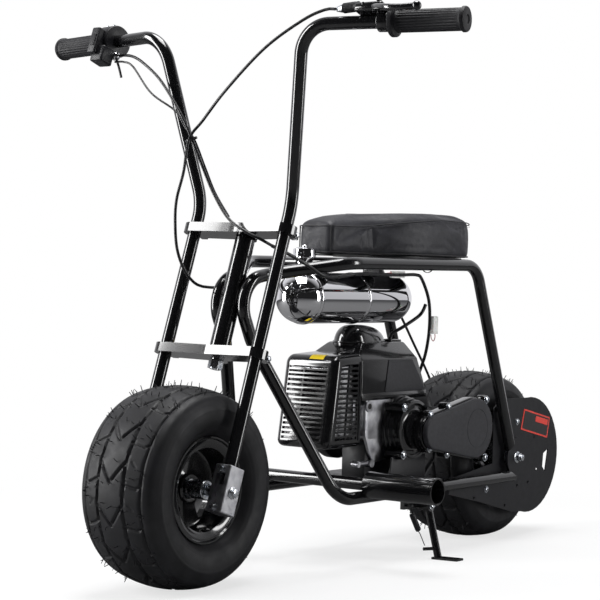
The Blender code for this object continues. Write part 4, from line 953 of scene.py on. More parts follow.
def throttle():
    """Throttle drum, switch box with its button and key lock, and a strap."""
    _, outward, inner = bar_end(-1)
    middle = inner - outward * 0.017
    along = outward * 0.017
    drum = rod("throttle_drum", middle - along, middle + along, 0.0285, STEERING, 72)
    soften(drum, 0.0028, 4)
    switch = box("switch", middle + Vector((-0.0125, -0.043, -0.038)), middle + Vector((0.006, -0.01, 0.01)),
                 STEERING)
    soften(switch, 0.0028, 3)
    foot = box("foot", middle + Vector((-0.01, -0.034, -0.05)), middle + Vector((0.018, -0.004, -0.02)),
               STEERING)
    soften(foot, 0.0035, 3)
    join(drum, switch, foot)
    seam = lathe("seam", [(0.027, -0.0004), (0.03, -0.0004), (0.03, 0.0004), (0.027, 0.0004)],
                 STEERING @ Matrix.Translation(middle + outward * 0.003) @ toward(outward), 72)
    cut(drum, rod("bore", middle - along * 3, middle + along * 3, TUBE_RADIUS + GAP, STEERING), seam)
    dress(drum, "satin_black", "fork", replaces=("throttle_housing",))
    face = middle + Vector((-0.003, -0.0432, -0.014))
    button = box("rocker", face + Vector((-0.005, -0.0012, -0.011)), face + Vector((0.005, 0.003, 0.011)),
                 STEERING)
    soften(button, 0.0009, 2)
    dress(button, "grip_rubber", "fork")
    key_lock = lathe("key_lock", [
        (0, -0.006), (0.006, -0.006), (0.0078, -0.003), (0.008, 0.002), (0.007, 0.005), (0.004, 0.0075),
        (0, 0.008)], on_bike(-0.27, -0.325, 0.89) @ ALONG_X, 40, closed=False)
    dress(key_lock, "chrome", "fork")
    strap = tube("throttle_strap", smooth([
        (-0.264, -0.33, 0.886), (-0.258, -0.331, 0.874), (-0.253, -0.3315, 0.862),
        (-0.249, -0.332, 0.851)], 0.002), 0.0022, "cable_black", sides=12)
    dress(strap, "cable_black", "fork")
    screws = repeat("throttle_screws", head_template("pan"), [
        (middle + outward * 0.01 + Vector((0, -0.012, 0.0262)), Vector((0, -0.42, 0.91)), 0.42),
        (middle - outward * 0.008 + Vector((0, -0.012, 0.0262)), Vector((0, -0.42, 0.91)), 0.42)],
        "zinc", STEERING)
    dress(screws, "zinc", "fork")


def head_template(kind):
    """The shared template of a bolt or screw head, made once and kept out of sight."""
    name = "template_" + kind
    if name not in bpy.data.objects:
        made = pan_screw() if kind == "pan" else hex_bolt()
        made.name = name
        TEMPLATES.append(made)
    return bpy.data.objects[name]


TEMPLATES = []


def lever():
    """Clamp, perch with its cable adjuster, and the short brake lever with a ball end."""
    _, outward, inner = bar_end(1)
    middle = inner - outward * 0.012
    clamp = rod("brake_perch", middle - outward * 0.009, middle + outward * 0.009, 0.0165, STEERING, 56)
    soften(clamp, 0.0015, 3)
    body = [middle + Vector((-0.082, -0.02, 0.018)), middle + Vector((-0.04, -0.022, 0.019)),
            middle + Vector((0.004, -0.027, 0.016))]
    block = box("perch_block", body[1] + Vector((-0.003, -0.01, -0.012)),
                body[2] + Vector((0.006, 0.02, 0.006)), STEERING)
    soften(block, 0.0045, 4)
    join(clamp, block)
    cut(clamp, rod("bore", middle - outward * 0.05, middle + outward * 0.05, TUBE_RADIUS + GAP, STEERING))
    dress(clamp, "gloss_black", "fork", replaces=("brake_lever",))
    blade_path = smooth([middle + Vector((-0.006, -0.027, 0.013)), middle + Vector((0.012, -0.037, 0.007)),
                         middle + Vector((0.032, -0.0445, 0.001)), middle + Vector((0.06, -0.0455, -0.0015)),
                         middle + Vector((0.084, -0.044, -0.0005))], 0.003)
    blade = tube("lever_blade", blade_path, 0.0056, "gloss_black", STEERING, 24)
    dress(blade, "gloss_black", "fork")

    def ball(shape):
        bmesh.ops.create_uvsphere(shape, u_segments=32, v_segments=20, radius=0.0075)

    dress(solid("lever_ball", ball, STEERING @ Matrix.Translation(middle + Vector((0.087, -0.044, 0.0)))),
          "gloss_black", "fork")
    way = (body[1] - body[0]).normalized()
    place = STEERING @ Matrix.Translation(body[0]) @ toward(way)
    sleeve = [(0.0028, 0.012)]
    for ring in range(9):
        height = 0.013 + ring * 0.0026
        sleeve += [(0.0078, height), (0.0084, height + 0.0005), (0.0084, height + 0.0016),
                   (0.0078, height + 0.0021)]
    sleeve += [(0.0082, 0.042), (0.0028, 0.042)]
    dress(lathe("adjuster_sleeve", sleeve, place, 48), "grip_rubber", "fork")
    cone = [(0.0028, -0.001), (0.0042, -0.001), (0.0048, 0.002), (0.0068, 0.009), (0.007, 0.0118),
            (0.0028, 0.0118)]
    dress(lathe("cable_adjuster", cone, place, 48), "zinc", "fork")
    screws = repeat("lever_screws", head_template("pan"), [
        (middle + Vector((0.002, -0.027, 0.0218)), Vector((0, 0, 1)), 0.75),
        (middle + Vector((-0.026, -0.0315, 0.018)), Vector((0, -1, 0)), 0.45)], "gloss_black", STEERING)
    dress(screws, "gloss_black", "fork")


def seat_outline(inset, steps=8):
    """The cushion seen from above, drawn in by inset."""
    half = [((SEAT_NOSE_HALF - inset, SEAT_NOSE + inset), 0.013), ((0.047 - inset, 0.012), 0.14),
            ((0.095 - inset, 0.088), 0.13), ((SEAT_HALF - inset, 0.155), 0.2),
            ((SEAT_HALF - inset, SEAT_TAIL - inset), 0.042)]
    return ring_outline(half + [((-x, y), radius) for (x, y), radius in reversed(half)], steps)


def along(y, *stations):
    """A value that runs smoothly between stations, each (place along the bike, value)."""
    places, values = zip(*stations)
    return float(np.mean(np.interp(y + np.linspace(-0.024, 0.024, 9), places, values)))


def seam_height(y):
    """Height of the seam round the seat's top panel."""
    return along(y, (-0.088, 0.602), (0.0, 0.603), (0.063, 0.612), (0.14, 0.62), (0.22, 0.6235), (0.3, 0.614))


def seat_top(y):
    """Height of the padded top along its middle."""
    return along(y, (-0.088, 0.6135), (0.0, 0.6225), (0.08, 0.6275), (0.16, 0.63), (0.235, 0.63),
                 (0.275, 0.626), (0.3, 0.619))


def inflate(thing, limit):
    """Swells a pad with a short cloth simulation and caps how far its points move."""
    start = np.array([vertex.co for vertex in thing.data.vertices])
    cloth = thing.modifiers.new("cloth", "CLOTH").settings
    cloth.use_pressure = True
    cloth.uniform_pressure_force = 4
    cloth.effector_weights.gravity = 0
    cloth.tension_stiffness = 20
    cloth.compression_stiffness = 20
    held = thing.vertex_groups.new(name="held")
    floor = min(vertex.co.z for vertex in thing.data.vertices) + 0.004
    held.add([vertex.index for vertex in thing.data.vertices if vertex.co.z < floor], 1.0, "REPLACE")
    cloth.vertex_group_mass = "held"
    scene = bpy.context.scene
    for step in range(1, 21):
        scene.frame_set(step)
    bake(thing, 60)
    end = np.array([vertex.co for vertex in thing.data.vertices])
    move = end - start
    length = np.linalg.norm(move, axis=1, keepdims=True)
    move *= np.minimum(1, limit / np.maximum(length, 1e-9))
    thing.data.vertices.foreach_set("co", (start + move).ravel())
    thing.vertex_groups.clear()
    scene.frame_set(1)


def seat(settings):
    """Vinyl cushion with a crowned top panel, its stitched seam, and welts at the nose's corners."""
    floor = SEAT_FLOOR + 0.0005
    levels = ((0.003, 0), (0.0005, 0.12), (0.0, 0.35), (-0.0004, 0.7), (0.0, 1.0))
    crown = (0.0015, 0.3), (0.004, 0.55), (0.008, 0.76), (0.014, 0.9), (0.022, 0.97), (0.03, 1.0)

    def build(shape):
        rings = [[shape.verts.new((x, y, floor + (seam_height(y) - floor) * share))
                  for x, y in seat_outline(0.003 + inset)] for inset, share in levels]
        rings += [[shape.verts.new((x, y, seam_height(y) + (seat_top(y) - seam_height(y)) * share))
                   for x, y in seat_outline(0.003 + inset)] for inset, share in crown]
        for lower, upper in zip(rings, rings[1:]):
            for count in range(len(lower)):
                after = (count + 1) % len(lower)
                shape.faces.new((lower[count], lower[after], upper[after], upper[count]))
        shape.faces.new(list(reversed(rings[0])))
        shape.faces.new(rings[-1])

    cushion = solid("cushion", build, Matrix())
    remesh = cushion.modifiers.new("voxels", "REMESH")
    remesh.mode, remesh.voxel_size = "VOXEL", 0.0036
    bake(cushion, 60)
    inflate(cushion, settings.swell)
    detail = cushion.modifiers.new("smooth", "SUBSURF")
    detail.levels = detail.render_levels = 1
    bake(cushion, 60)
    cushion.data.transform(BIKE)
    dress(cushion, "vinyl", "frame", replaces=("seat_cushion",))

    edge = seat_outline(0.0026, 10)
    seam = [(x, y, seam_height(y)) for x, y in edge]
    welts = [tube("seam", seam + seam[:2], 0.001, "piping", sides=8)]
    base = [(x, y, floor + 0.0022) for x, y in seat_outline(0.004, 10)]
    welts.append(tube("hem", base + base[:2], 0.0014, "piping", sides=8))
    for sign in (1, -1):
        corner = (sign * (SEAT_NOSE_HALF - 0.0052), SEAT_NOSE + 0.0052)
        line = [(*corner, height) for height in (floor + 0.003, 0.58, seam_height(SEAT_NOSE))]
        welts.append(tube("corner", line, 0.0012, "piping", sides=8))
    dress(merge("seat_seams", *welts), "piping", "frame")
    stitches = []
    for start, end in zip(seam, seam[1:] + seam[:1]):
        run = Vector(end) - Vector(start)
        count = max(1, round(run.length / settings.stitch_pitch))
        for part in range(count):
            spot = Vector(start) + run * (part / count) - Vector((0, 0, 0.0042))
            stitches.append((spot + Vector((run.y, -run.x, 0)).normalized() * 0.0004, run.normalized(), 1.0))
    stitch = rod("stitch", (0, 0, -0.0011), (0, 0, 0.0011), 0.00038, Matrix(), 6)
    row = repeat("seat_stitching", stitch, stitches, "piping")
    bpy.data.objects.remove(stitch)
    dress(row, "piping", "frame")


def tank():
    """Chromed bottle with domed ends, rolled bands, filler neck, cap and vent."""
    rear = TANK_REAR + 0.03
    length = rear - TANK_FRONT

    def dome(end, way):
        return [(0 if step == 12 else TANK_RADIUS * math.cos(math.radians(step * 7.5)),
                 end + way * TANK_DOME * math.sin(math.radians(step * 7.5))) for step in range(13)]

    front = list(reversed(dome(length, 1)))
    body = []
    for middle in (length - 0.003, length - 0.15):
        body.append((TANK_RADIUS, middle + 0.0062))
        for step in range(9):
            angle = math.pi * step / 8
            body.append((TANK_RADIUS + 0.0018 * math.sin(angle), middle + 0.0042 * math.cos(angle) + 0.001))
        body.append((TANK_RADIUS, middle - 0.0062))
    place = on_bike(0, rear, TANK_HEIGHT) @ Matrix.Rotation(math.pi / 2, 4, "X")
    bottle = lathe("chrome_bottle", front[:-1] + body + dome(0, -1), place, 128, closed=False, angle=40)
    top = TANK_HEIGHT + TANK_RADIUS
    neck = lathe("filler_neck", [(0, -0.006), (0.015, -0.006), (0.015, 0.025), (0, 0.025)],
                 on_bike(0, FILLER_PLACE, top), 64, closed=False)
    join(bottle, neck)
    dress(bottle, "chrome", "frame", replaces=("fuel_tank",))

    cap = lathe("fuel_cap", [(0, 0.0255), (0.019, 0.0255), (0.02, 0.0265), (0.02, 0.0395), (0.0188, 0.0412),
                             (0.015, 0.042), (0.013, 0.0436), (0.006, 0.044), (0, 0.044)],
                on_bike(0, FILLER_PLACE, top), 80, closed=False, angle=40)
    dress(cap, "chrome", "frame", replaces=("tank_cap",))
    vent = lathe("cap_vent", [(0, 0.0436), (0.0038, 0.0436), (0.0038, 0.047), (0.0022, 0.0482), (0, 0.0482)],
                 on_bike(0, FILLER_PLACE, top), 32, closed=False)
    dress(vent, "chrome", "frame")


def lean_back(thing):
    """Tilts the front of the muffler's guard, so that it reaches further forward at its foot."""
    upright = BIKE.inverted()
    back = BLOCK_FRONT
    for vertex in thing.data.vertices:
        spot = upright @ vertex.co
        spot.z += 0.055 * max(0, spot.z - 0.3)
        spot.z -= 0.12 * max(0, -0.06 - spot.y) * min(1, max(0, (spot.z - 0.335) / 0.03))
        spot.y += (spot.z - 0.29) * 0.168 * max(0, (back - spot.y) / (back - GUARD_FRONT))
        vertex.co = BIKE @ spot
    return thing


def muffler(settings):
    """Bright muffler behind its louvred guard."""
    front, back, low, high = GUARD_FRONT, BLOCK_FRONT - GAP, GUARD_LOW, GUARD_LOW + GUARD_HEIGHT
    wall = GUARD_WALL
    guard = box("louvred_guard", (-GUARD_HALF, front, low), (GUARD_HALF, back + 0.04, high))
    soften(guard, 0.014, 8)
    hollow = box("hollow", (wall - GUARD_HALF, front + wall, low + wall),
                 (GUARD_HALF - wall, back + 0.05, high - wall))
    soften(hollow, 0.014 - wall, 8)
    slots = []
    for row in range(settings.louvres):
        z = low + 0.015 + row * settings.louvre_pitch
        slots.append(box("slot", (-0.044, front - 0.02, z), (-0.012, front + 0.014, z + 0.0048)))
        slots.append(box("slot", (-0.0095, front - 0.02, z), (0.04, front + 0.014, z + 0.0048)))
        slots.append(box("slot", (-0.08, front + 0.02, z), (0.08, front + 0.047, z + 0.0046)))
        slots.append(box("slot", (-0.08, front + 0.05, z), (0.08, back - 0.01, z + 0.0046)))
    cut(guard, hollow, box("open_back", (-0.07, back, low - 0.01), (0.07, back + 0.05, high + 0.01)))
    cut(guard, merge("slots", *slots))
    frame_lip = box("lip", (-0.0592, back - 0.0058, low + 0.012), (0.0592, back - 0.003, high - 0.014))
    cut(frame_lip, box("inside", (-0.0575, back - 0.01, low), (0.0575, back, high)))
    guard = merge("louvred_guard", guard, frame_lip)
    dress(lean_back(guard), "gloss_black", "frame", replaces=("muffler_guard",))
    body = box("muffler_body", (-0.047, front + 0.01, low + 0.01), (0.048, back - 0.0003, high - 0.014))
    soften(body, 0.01, 5)
    bosses = [rod("boss", (x, front + 0.0105, z), (x, front + 0.0065, z), 0.0095) for x, z in (
        (-0.026, 0.318), (0.018, 0.318), (0.018, 0.246), (-0.026, 0.246))]
    ribs = [box("rib", (0.047, front + 0.022, z), (0.0495, back - 0.014, z + 0.005)) for z in (
        0.228, 0.245, 0.262, 0.279, 0.296, 0.313, 0.33)]
    dress(lean_back(merge("muffler_dress", body, *bosses, *ribs)), "muffler_steel", "frame",
          replaces=("muffler",))


def cowl():
    """Gloss cowl with its domed hood, flange and matte side panel."""
    side = [((BLOCK_FRONT, BLOCK_TOP + GAP), 0.002), ((0.196, BLOCK_TOP + GAP), 0.004),
            ((0.187, 0.322), 0.02), ((0.166, 0.36), 0.02), ((0.15, COWL_TOP), 0.006),
            ((0.014, COWL_TOP), 0.02), ((BLOCK_FRONT, 0.372), 0.01)]
    shell = slab("cowl", ring_outline(side, 8), 2 * COWL_HALF, BIKE @ ACROSS)
    shoulders = slab("shoulders", [
        (COWL_HALF, 0.29), (COWL_HALF, 0.364), (COWL_SHOULDER, COWL_TOP + 0.001),
        (-COWL_SHOULDER, COWL_TOP + 0.001), (-COWL_HALF, 0.364), (-COWL_HALF, 0.29)],
        0.5, BIKE @ Matrix.Rotation(math.pi / 2, 4, "X"))
    combine(shell, [shoulders], "INTERSECT")
    soften(shell, 0.0035, 4, 30)

    def dome(shape):
        bmesh.ops.create_uvsphere(shape, u_segments=72, v_segments=36, radius=1)
        bmesh.ops.scale(shape, vec=Vector((HOOD_HALF, 1, HOOD_HEIGHT)), verts=shape.verts)
        for vertex in shape.verts:
            reach = math.hypot(vertex.co.x / HOOD_HALF, vertex.co.y)
            top = HOOD_HEIGHT * max(0, 1 - reach ** 2.7) ** 0.5
            vertex.co.z = top if vertex.co.z > 0 else max(vertex.co.z, -0.004)
            vertex.co.y *= HOOD_FRONT if vertex.co.y < 0 else HOOD_BACK

    hood = solid("hood", dome, on_bike(0, HOOD_PLACE, COWL_TOP - 0.004))
    edge = [(x * (HOOD_HALF + 0.002), HOOD_PLACE + y * ((HOOD_FRONT if y < 0 else HOOD_BACK) + 0.002))
            for x, y in circle((0, 0), 1, 72)]
    brim = slab("brim", edge, 0.0044, on_bike(0, 0, COWL_TOP))
    soften(brim, 0.0012, 3)
    bridge = box("hood_foot", (-0.02, 0.12, COWL_TOP - 0.004), (0.03, 0.153, COWL_TOP + 0.004))
    soften(bridge, 0.002, 3)
    skirt = box("skirt", (0.0566, BLOCK_FRONT + 0.001, 0.2905), (COWL_HALF + 0.0003, 0.196, 0.304))
    soften(skirt, 0.0008, 2)
    dress(merge("cowl_dress", shell, hood, brim, bridge, skirt), "gloss_black", "frame",
          replaces=("cylinder_cowl",))
    panel = slab("cowl_side_panel", ring_outline([
        ((0.068, 0.363), 0.004), ((0.145, 0.3625), 0.006), ((0.1815, 0.318), 0.008), ((0.187, 0.304), 0.003),
        ((0.058, 0.304), 0.003)], 5), 0.002, side_on(COWL_HALF + 0.0006))
    soften(panel, 0.0007, 2)
    dress(panel, "matte_black", "frame")


def crankcase():
    """Cast crankcase, narrow at its foot, with the black mount below it."""
    upper = slab("crankcase", ring_outline([
        ((0.002, 0.2955), 0.004), ((0.1, 0.2955), 0.006), ((0.1, 0.218), 0.01), ((0.004, 0.218), 0.012),
        ((-0.001, 0.24), 0.02), ((-0.002, 0.28), 0.008)], 8), 0.092, side_on(0.012))
    soften(upper, 0.006, 4)
    flange = slab("flange", ring_outline([
        ((0.0, 0.286), 0.006), ((0.05, 0.29), 0.01), ((0.09, 0.29), 0.01), ((0.09, 0.185), 0.01),
        ((0.03, 0.176), 0.01), ((0.016, 0.192), 0.015), ((0.0, 0.228), 0.02)], 8), 0.006, side_on(0.0548))
    soften(flange, 0.0018, 3)
    block = box("block_core", (-0.059, BLOCK_FRONT, 0.245), (0.04, 0.1, BLOCK_TOP))
    soften(block, 0.006, 3)
    lugs = [rod("lug", (start, y, z), (0.06, y, z), radius) for start, y, z, radius in (
        (0.03, 0.01, 0.28, 0.0105), (0.046, -0.02, 0.177, 0.0055), (0.046, 0.022, 0.176, 0.007))]
    arm = rod("arm", (0.052, -0.02, 0.1768), (0.052, 0.03, 0.1768), 0.0042)
    dress(merge("crankcase_dress", upper, flange, block, arm, *lugs), "cast_silver", "frame",
          replaces=("engine_block",))
    rear = box("crankcase_rear", (-0.045, 0.0985, 0.19), (0.057, 0.163, BLOCK_TOP))
    soften(rear, 0.006, 3)
    dress(rear, "gloss_black", "frame")
    # The thin black disc on the round lug's end face is painted shade that stands for the lug's open socket.
    socket = rod("lug_sockets", (0.0598, 0.01, 0.28), (0.0606, 0.01, 0.28), 0.0052, sides=24)
    dress(socket, "label_black", "frame")
    plate = box("plate", (-0.095, -0.012, SILL_HEIGHT + TUBE_RADIUS + 0.0006), (0.095, 0.16, 0.1455))
    soften(plate, 0.0012, 2)
    upright = box("upright", (0.0, 0.01, 0.145), (0.0515, 0.15, 0.225))
    soften(upright, 0.003, 2)
    panel = slab("foot_panel", ring_outline([
        ((0.04, 0.146), 0.003), ((0.047, 0.1885), 0.003), ((0.158, 0.1885), 0.003),
        ((0.158, 0.146), 0.003)], 4), 0.004, side_on(0.084))
    soften(panel, 0.0008, 2)
    dress(merge("mount_dress", plate, upright, panel), "satin_black", "frame", replaces=("engine_mount",))


def clutch():
    """Stepped clutch housing with two bolt lugs on its front side."""
    inner, face = 0.0588, CASE_INNER - GAP
    bell = lathe("clutch_bell", [
        (0, inner), (0.06, inner), (0.0604, inner + 0.001), (0.0604, 0.065), (0.0588, 0.0662), (0.058, 0.069),
        (0.058, 0.072), (0.0566, 0.0735), (0.056, 0.078), (0.056, 0.0812), (0.0545, 0.083), (0.054, 0.086),
        (0.054, 0.092), (0.053, 0.094), (0.048, 0.0948), (0.047, 0.094), (0.0455, 0.09), (0.042, 0.0895),
        (0.036, 0.092), (0.0352, face), (0, face)],
        on_bike(0, CLUTCH_PLACE, CRANK_HEIGHT) @ ALONG_X, 128, closed=False, angle=28)
    pieces = [bell]
    for y, z in CLUTCH_BOLTS:
        pieces.append(rod("lug", (0.061, y, z), (0.0986, y, z), 0.0086))
        pieces.append(slab("web", [(y - 0.002, z + 0.008), (y - 0.002, z - 0.008), (CLUTCH_PLACE, z - 0.01),
                                   (CLUTCH_PLACE, z + 0.006)], 0.014, side_on(0.084)))
    dress(merge("clutch_dress", *pieces), "gloss_black", "frame", replaces=("clutch_housing",))


def intake():
    """Recoil starter and air cleaner, on the side away from the camera."""
    starter = lathe("starter_cover", [
        (0, 0.04), (0.012, 0.04), (0.026, 0.0395), (0.03, 0.0385), (0.054, 0.0315), (0.0575, 0.029),
        (0.0625, 0.0195), (0.063, 0.0175), (0.063, 0.0), (0, 0)],
        on_bike(-0.0595, CRANK_PLACE, CRANK_HEIGHT) @ Matrix.Rotation(-math.pi / 2, 4, "Y"), 112,
        closed=False, angle=28)
    vents = [box("vent", (-0.12, 0.034, -0.0022), (-0.09, 0.051, 0.0022),
                 on_bike(0, CRANK_PLACE, CRANK_HEIGHT) @ Matrix.Rotation(2 * math.pi * step / 14, 4, "X"))
             for step in range(14)]
    cut(starter, *vents)
    dress(starter, "satin_black", "frame", replaces=("recoil_starter",))
    air = box("air_cleaner", (-0.045, 0.1653, 0.205), (0.045, 0.232, 0.2995))
    soften(air, 0.01, 5)
    grooves = [box("groove", (-0.05, 0.23, 0.222 + 0.01 * row), (0.05, 0.24, 0.224 + 0.01 * row))
               for row in range(6)]
    cut(air, *grooves)
    dress(air, "satin_black", "frame", replaces=("air_box",))


def egg(small, large, small_radius, large_radius, steps=40):
    lean = math.asin((large_radius - small_radius) / (large[0] - small[0]))
    quarter = math.pi / 2
    return (circle(large, large_radius, steps, -quarter - lean, quarter + lean)
            + circle(small, small_radius, steps // 2, quarter + lean, 3 * quarter - lean))


def gear_case():
    """Gear case with its bolt lugs, output pinion and matte cover with one round boss."""
    depth = CASE_OUTER - CASE_INNER
    middle = (CASE_INNER + CASE_OUTER) / 2
    small, large = (0.126, 0.231), (0.27, 0.232)
    case = slab("gear_housing", egg(small, large, 0.033, 0.0585), depth, side_on(middle))
    soften(case, 0.0016, 3)
    parts = [case]
    for y, z in CASE_BOLTS:
        inward = Vector((0, large[0] - y, large[1] - z)) if y > 0.25 else Vector((0, 0, 0.231 - z))
        spot = Vector((middle, y, z))
        lug = rod("lug", (CASE_INNER, y, z), (CASE_OUTER, y, z), 0.0085)
        soften(lug, 0.001, 2)
        parts += [lug, rod("arm", spot, spot + inward.normalized() * 0.02, 0.0065, sides=20)]
    pinion = toothed((OUTPUT_PLACE, OUTPUT_HEIGHT), PINION_RADIUS, 10,
                     ((-0.0044, -0.16), (0.0004, -0.07), (0.0004, 0.07), (-0.0044, 0.16)))
    teeth = slab("pinion_teeth", pinion, 0.0028, side_on(CHAIN_LINE))
    boss = rod("pinion_boss", (CHAIN_LINE + 0.001, OUTPUT_PLACE, OUTPUT_HEIGHT),
               (CASE_INNER + 0.002, OUTPUT_PLACE, OUTPUT_HEIGHT), 0.01)
    dress(merge("gear_case_dress", *parts), "gloss_black", "frame", replaces=("gear_case",))
    dress(merge("output_sprocket", teeth, boss), "oiled_steel", "frame")
    cover = slab("gear_cover_dress", egg(small, large, 0.031, 0.0565), 0.012,
                 side_on(CASE_OUTER + GAP + 0.006))
    soften(cover, 0.0034, 5)
    face = CASE_OUTER + GAP + 0.012
    groove = lathe("groove", [(0.0358, 0.001), (0.0358, -0.0007), (0.0366, -0.0007), (0.0366, 0.001)],
                   on_bike(face, *large) @ ALONG_X, 96)
    cut(cover, groove)
    dress(cover, "matte_black", "frame", replaces=("gear_cover",))


def chain_run(spacing):
    """The chain's joints along its run, about a spacing apart, an even number of them."""
    rear, front = Vector((REAR_AXLE.y, REAR_AXLE.z)), Vector((OUTPUT_PLACE, OUTPUT_HEIGHT))
    line = rear - front
    heading = math.atan2(line.y, line.x)
    spread = math.acos((PINION_RADIUS - SPROCKET_RADIUS) / line.length)
    top, bottom = heading + spread, heading - spread
    path = (circle(rear, SPROCKET_RADIUS, 400, bottom, top)
            + circle(front, PINION_RADIUS, 200, top, bottom + 2 * math.pi))
    path.append(path[0])
    lengths = [0]
    for (ax, ay), (bx, by) in zip(path, path[1:]):
        lengths.append(lengths[-1] + math.hypot(bx - ax, by - ay))
    count = 2 * round(lengths[-1] / spacing / 2)
    spots = np.linspace(0, lengths[-1], count + 1)[:-1]
    ys, zs = np.interp(spots, lengths, [p[0] for p in path]), np.interp(spots, lengths, [p[1] for p in path])
    return [Vector((CHAIN_LINE, y, z)) for y, z in zip(ys, zs)]


def link_template(name, width, pitch):
    """Two side plates and a roller, along x, with the plates across z."""
    outline = (circle((pitch / 2, 0), 0.0029, 10, -math.pi / 2, math.pi / 2)
               + circle((-pitch / 2, 0), 0.0029, 10, math.pi / 2, 3 * math.pi / 2))
    waist = [(x, y * (0.72 if abs(x) < pitch * 0.3 else 1)) for x, y in outline]
    plates = [slab("plate", waist, 0.0009, Matrix.Translation((0, 0, side * width / 2))) for side in (1, -1)]
    pins = [rod("pin", (x, 0, -width / 2 - 0.0005), (x, 0, width / 2 + 0.0005), 0.0017, Matrix(), 10)
            for x in (-pitch / 2, pitch / 2)]
    return merge(name, *plates, *pins)


def drive():
    """Roller chain link by link, toothed sprocket, drilled brake disc and axles."""
    joints = chain_run(0.0064)
    pitch = (joints[1] - joints[0]).length
    inner = link_template("inner_link", 0.005, pitch)
    outer = link_template("outer_link", 0.007, pitch)
    sets = ([], [])
    for count, (here, there) in enumerate(zip(joints, joints[1:] + joints[:1])):
        way = (there - here).normalized()
        side = Vector((1, 0, 0))
        turn = Matrix((way, side.cross(way), side)).transposed()
        sets[count % 2].append(((here + there) / 2, turn, 1.0))
    loops = [repeat("links", piece, spots, "oiled_steel") for piece, spots in zip((inner, outer), sets)]
    for piece in (inner, outer):
        bpy.data.objects.remove(piece)
    dress(merge("roller_chain", *loops), "oiled_steel", "frame", replaces=("drive_chain",))

    teeth = round(2 * math.pi * SPROCKET_RADIUS / pitch)
    share = 2 * math.pi / teeth
    outline = toothed((0, 0), SPROCKET_RADIUS, teeth, (
        (-0.003, -0.36 * share), (0.0022, -0.13 * share), (0.0022, 0.13 * share), (-0.003, 0.36 * share)))
    holes = [circle((0.04 * math.cos(turn), 0.04 * math.sin(turn)), 0.0085, 24)
             for turn in (math.radians(30 + 60 * step) for step in range(6))]
    plate = slab("sprocket_plate", outline, 0.0024,
                 REAR_WHEEL @ Matrix.Translation((CHAIN_LINE, 0, 0)) @ ACROSS, holes)
    near = HUB_HALF + GAP
    carrier = lathe("sprocket_carrier", [
        (AXLE_BORE, CHAIN_LINE + 0.002), (0.012, CHAIN_LINE + 0.002), (0.03, CHAIN_LINE - 0.0012),
        (0.03, near), (AXLE_BORE, near)], REAR_WHEEL @ ALONG_X, 72)
    dress(merge("drive_sprocket", plate, carrier), "zinc", "rear_wheel", replaces=("rear_sprocket",))
    disc_place = -0.0855
    drilled = [circle((radius * math.cos(turn + shift), radius * math.sin(turn + shift)), 0.0022, 14)
               for radius, shift in ((0.036, 0), (0.043, 0.17), (0.05, 0.34))
               for turn in (2 * math.pi * step / 12 for step in range(12))]
    disc = slab("disc_ring", circle((0, 0), 0.058, 120), 0.003,
                REAR_WHEEL @ Matrix.Translation((disc_place, 0, 0)) @ ACROSS,
                [circle((0, 0), AXLE_BORE, 32)] + drilled)
    hub = lathe("disc_hub", [(AXLE_BORE, -near), (0.026, -near), (0.026, disc_place + 0.0016),
                             (AXLE_BORE, disc_place + 0.0016)], REAR_WHEEL @ ALONG_X, 72)
    dress(merge("drilled_disc", disc, hub), "zinc", "rear_wheel", replaces=("brake_disc",))

    for name, body, place, reach in (
            ("front_axle", "fork", FRONT_WHEEL, 0.117), ("rear_axle", "frame", REAR_WHEEL, 0.129)):
        axle = rod(name + "_shaft", (-reach, 0, 0), (reach, 0, 0), 0.006, place, 40)
        soften(axle, 0.0008, 2)
        pieces = [axle]
        for sign in (1, -1):
            if name == "front_axle":
                low, high = (HUB_FACE if sign > 0 else HUB_HALF) + 0.0006, 0.061
                pieces.append(lathe("collar", [
                    (0.0062, sign * low), (0.015, sign * low), (0.0158, sign * (low + 0.001)),
                    (0.0158, sign * (high - 0.001)), (0.015, sign * high), (0.011, sign * high),
                    (0.01, sign * (high - 0.002)), (0.0062, sign * (high - 0.002))], place @ ALONG_X, 64))
                low, high = 0.0592, FORK_HALF - 0.0165
            else:
                low, high = (CHAIN_LINE + 0.004 if sign > 0 else HUB_HALF + 0.041), RAIL_HALF - 0.0028
            pieces.append(rod("spacer", (sign * low, 0, 0), (sign * high, 0, 0), 0.0088, place, 40))
        dress(merge(name + "_dress", *pieces), "zinc", body, replaces=(name,))


def stand():
    """Coil spring in its dark sleeve, with hooked ends."""
    face = RAIL_HALF + 0.0045
    top = Vector((face + 0.0065, STAND_PIVOT.y - 0.052, 0.0985))
    foot = Vector((0.137, STAND_PIVOT.y - 0.019, 0.03))
    way = (foot - top).normalized()
    turn = way.to_track_quat("Z", "Y").to_matrix()
    start, end = top + way * 0.01, top + way * 0.046
    length = (end - start).length
    coils = []
    count = COIL_TURNS * COIL_STEPS
    for step in range(count):
        share = step / (count - 1)
        angle = 2 * math.pi * COIL_TURNS * share
        coil = Vector((COIL_RADIUS * math.cos(angle), COIL_RADIUS * math.sin(angle), length * share))
        coils.append(start + turn @ coil)
    spring = tube("spring_coils", coils, WIRE_RADIUS, "satin_black", sides=8)
    sleeve = rod("spring_sleeve", start + way * 0.003, end - way * 0.002, 0.0054, sides=32)
    soften(sleeve, 0.0008, 2)
    rise = turn @ Vector((COIL_RADIUS, 0, 0))
    hooks = [tube("hook", smooth(points, 0.002), WIRE_RADIUS, "satin_black", sides=8) for points in (
        (top + Vector((0, 0, 0.003)), top + way * 0.004, start + rise),
        (end + rise, end + way * 0.006, foot))]
    dress(merge("stand_coil_spring", spring, sleeve, *hooks), "satin_black", "frame",
          replaces=("stand_spring",))


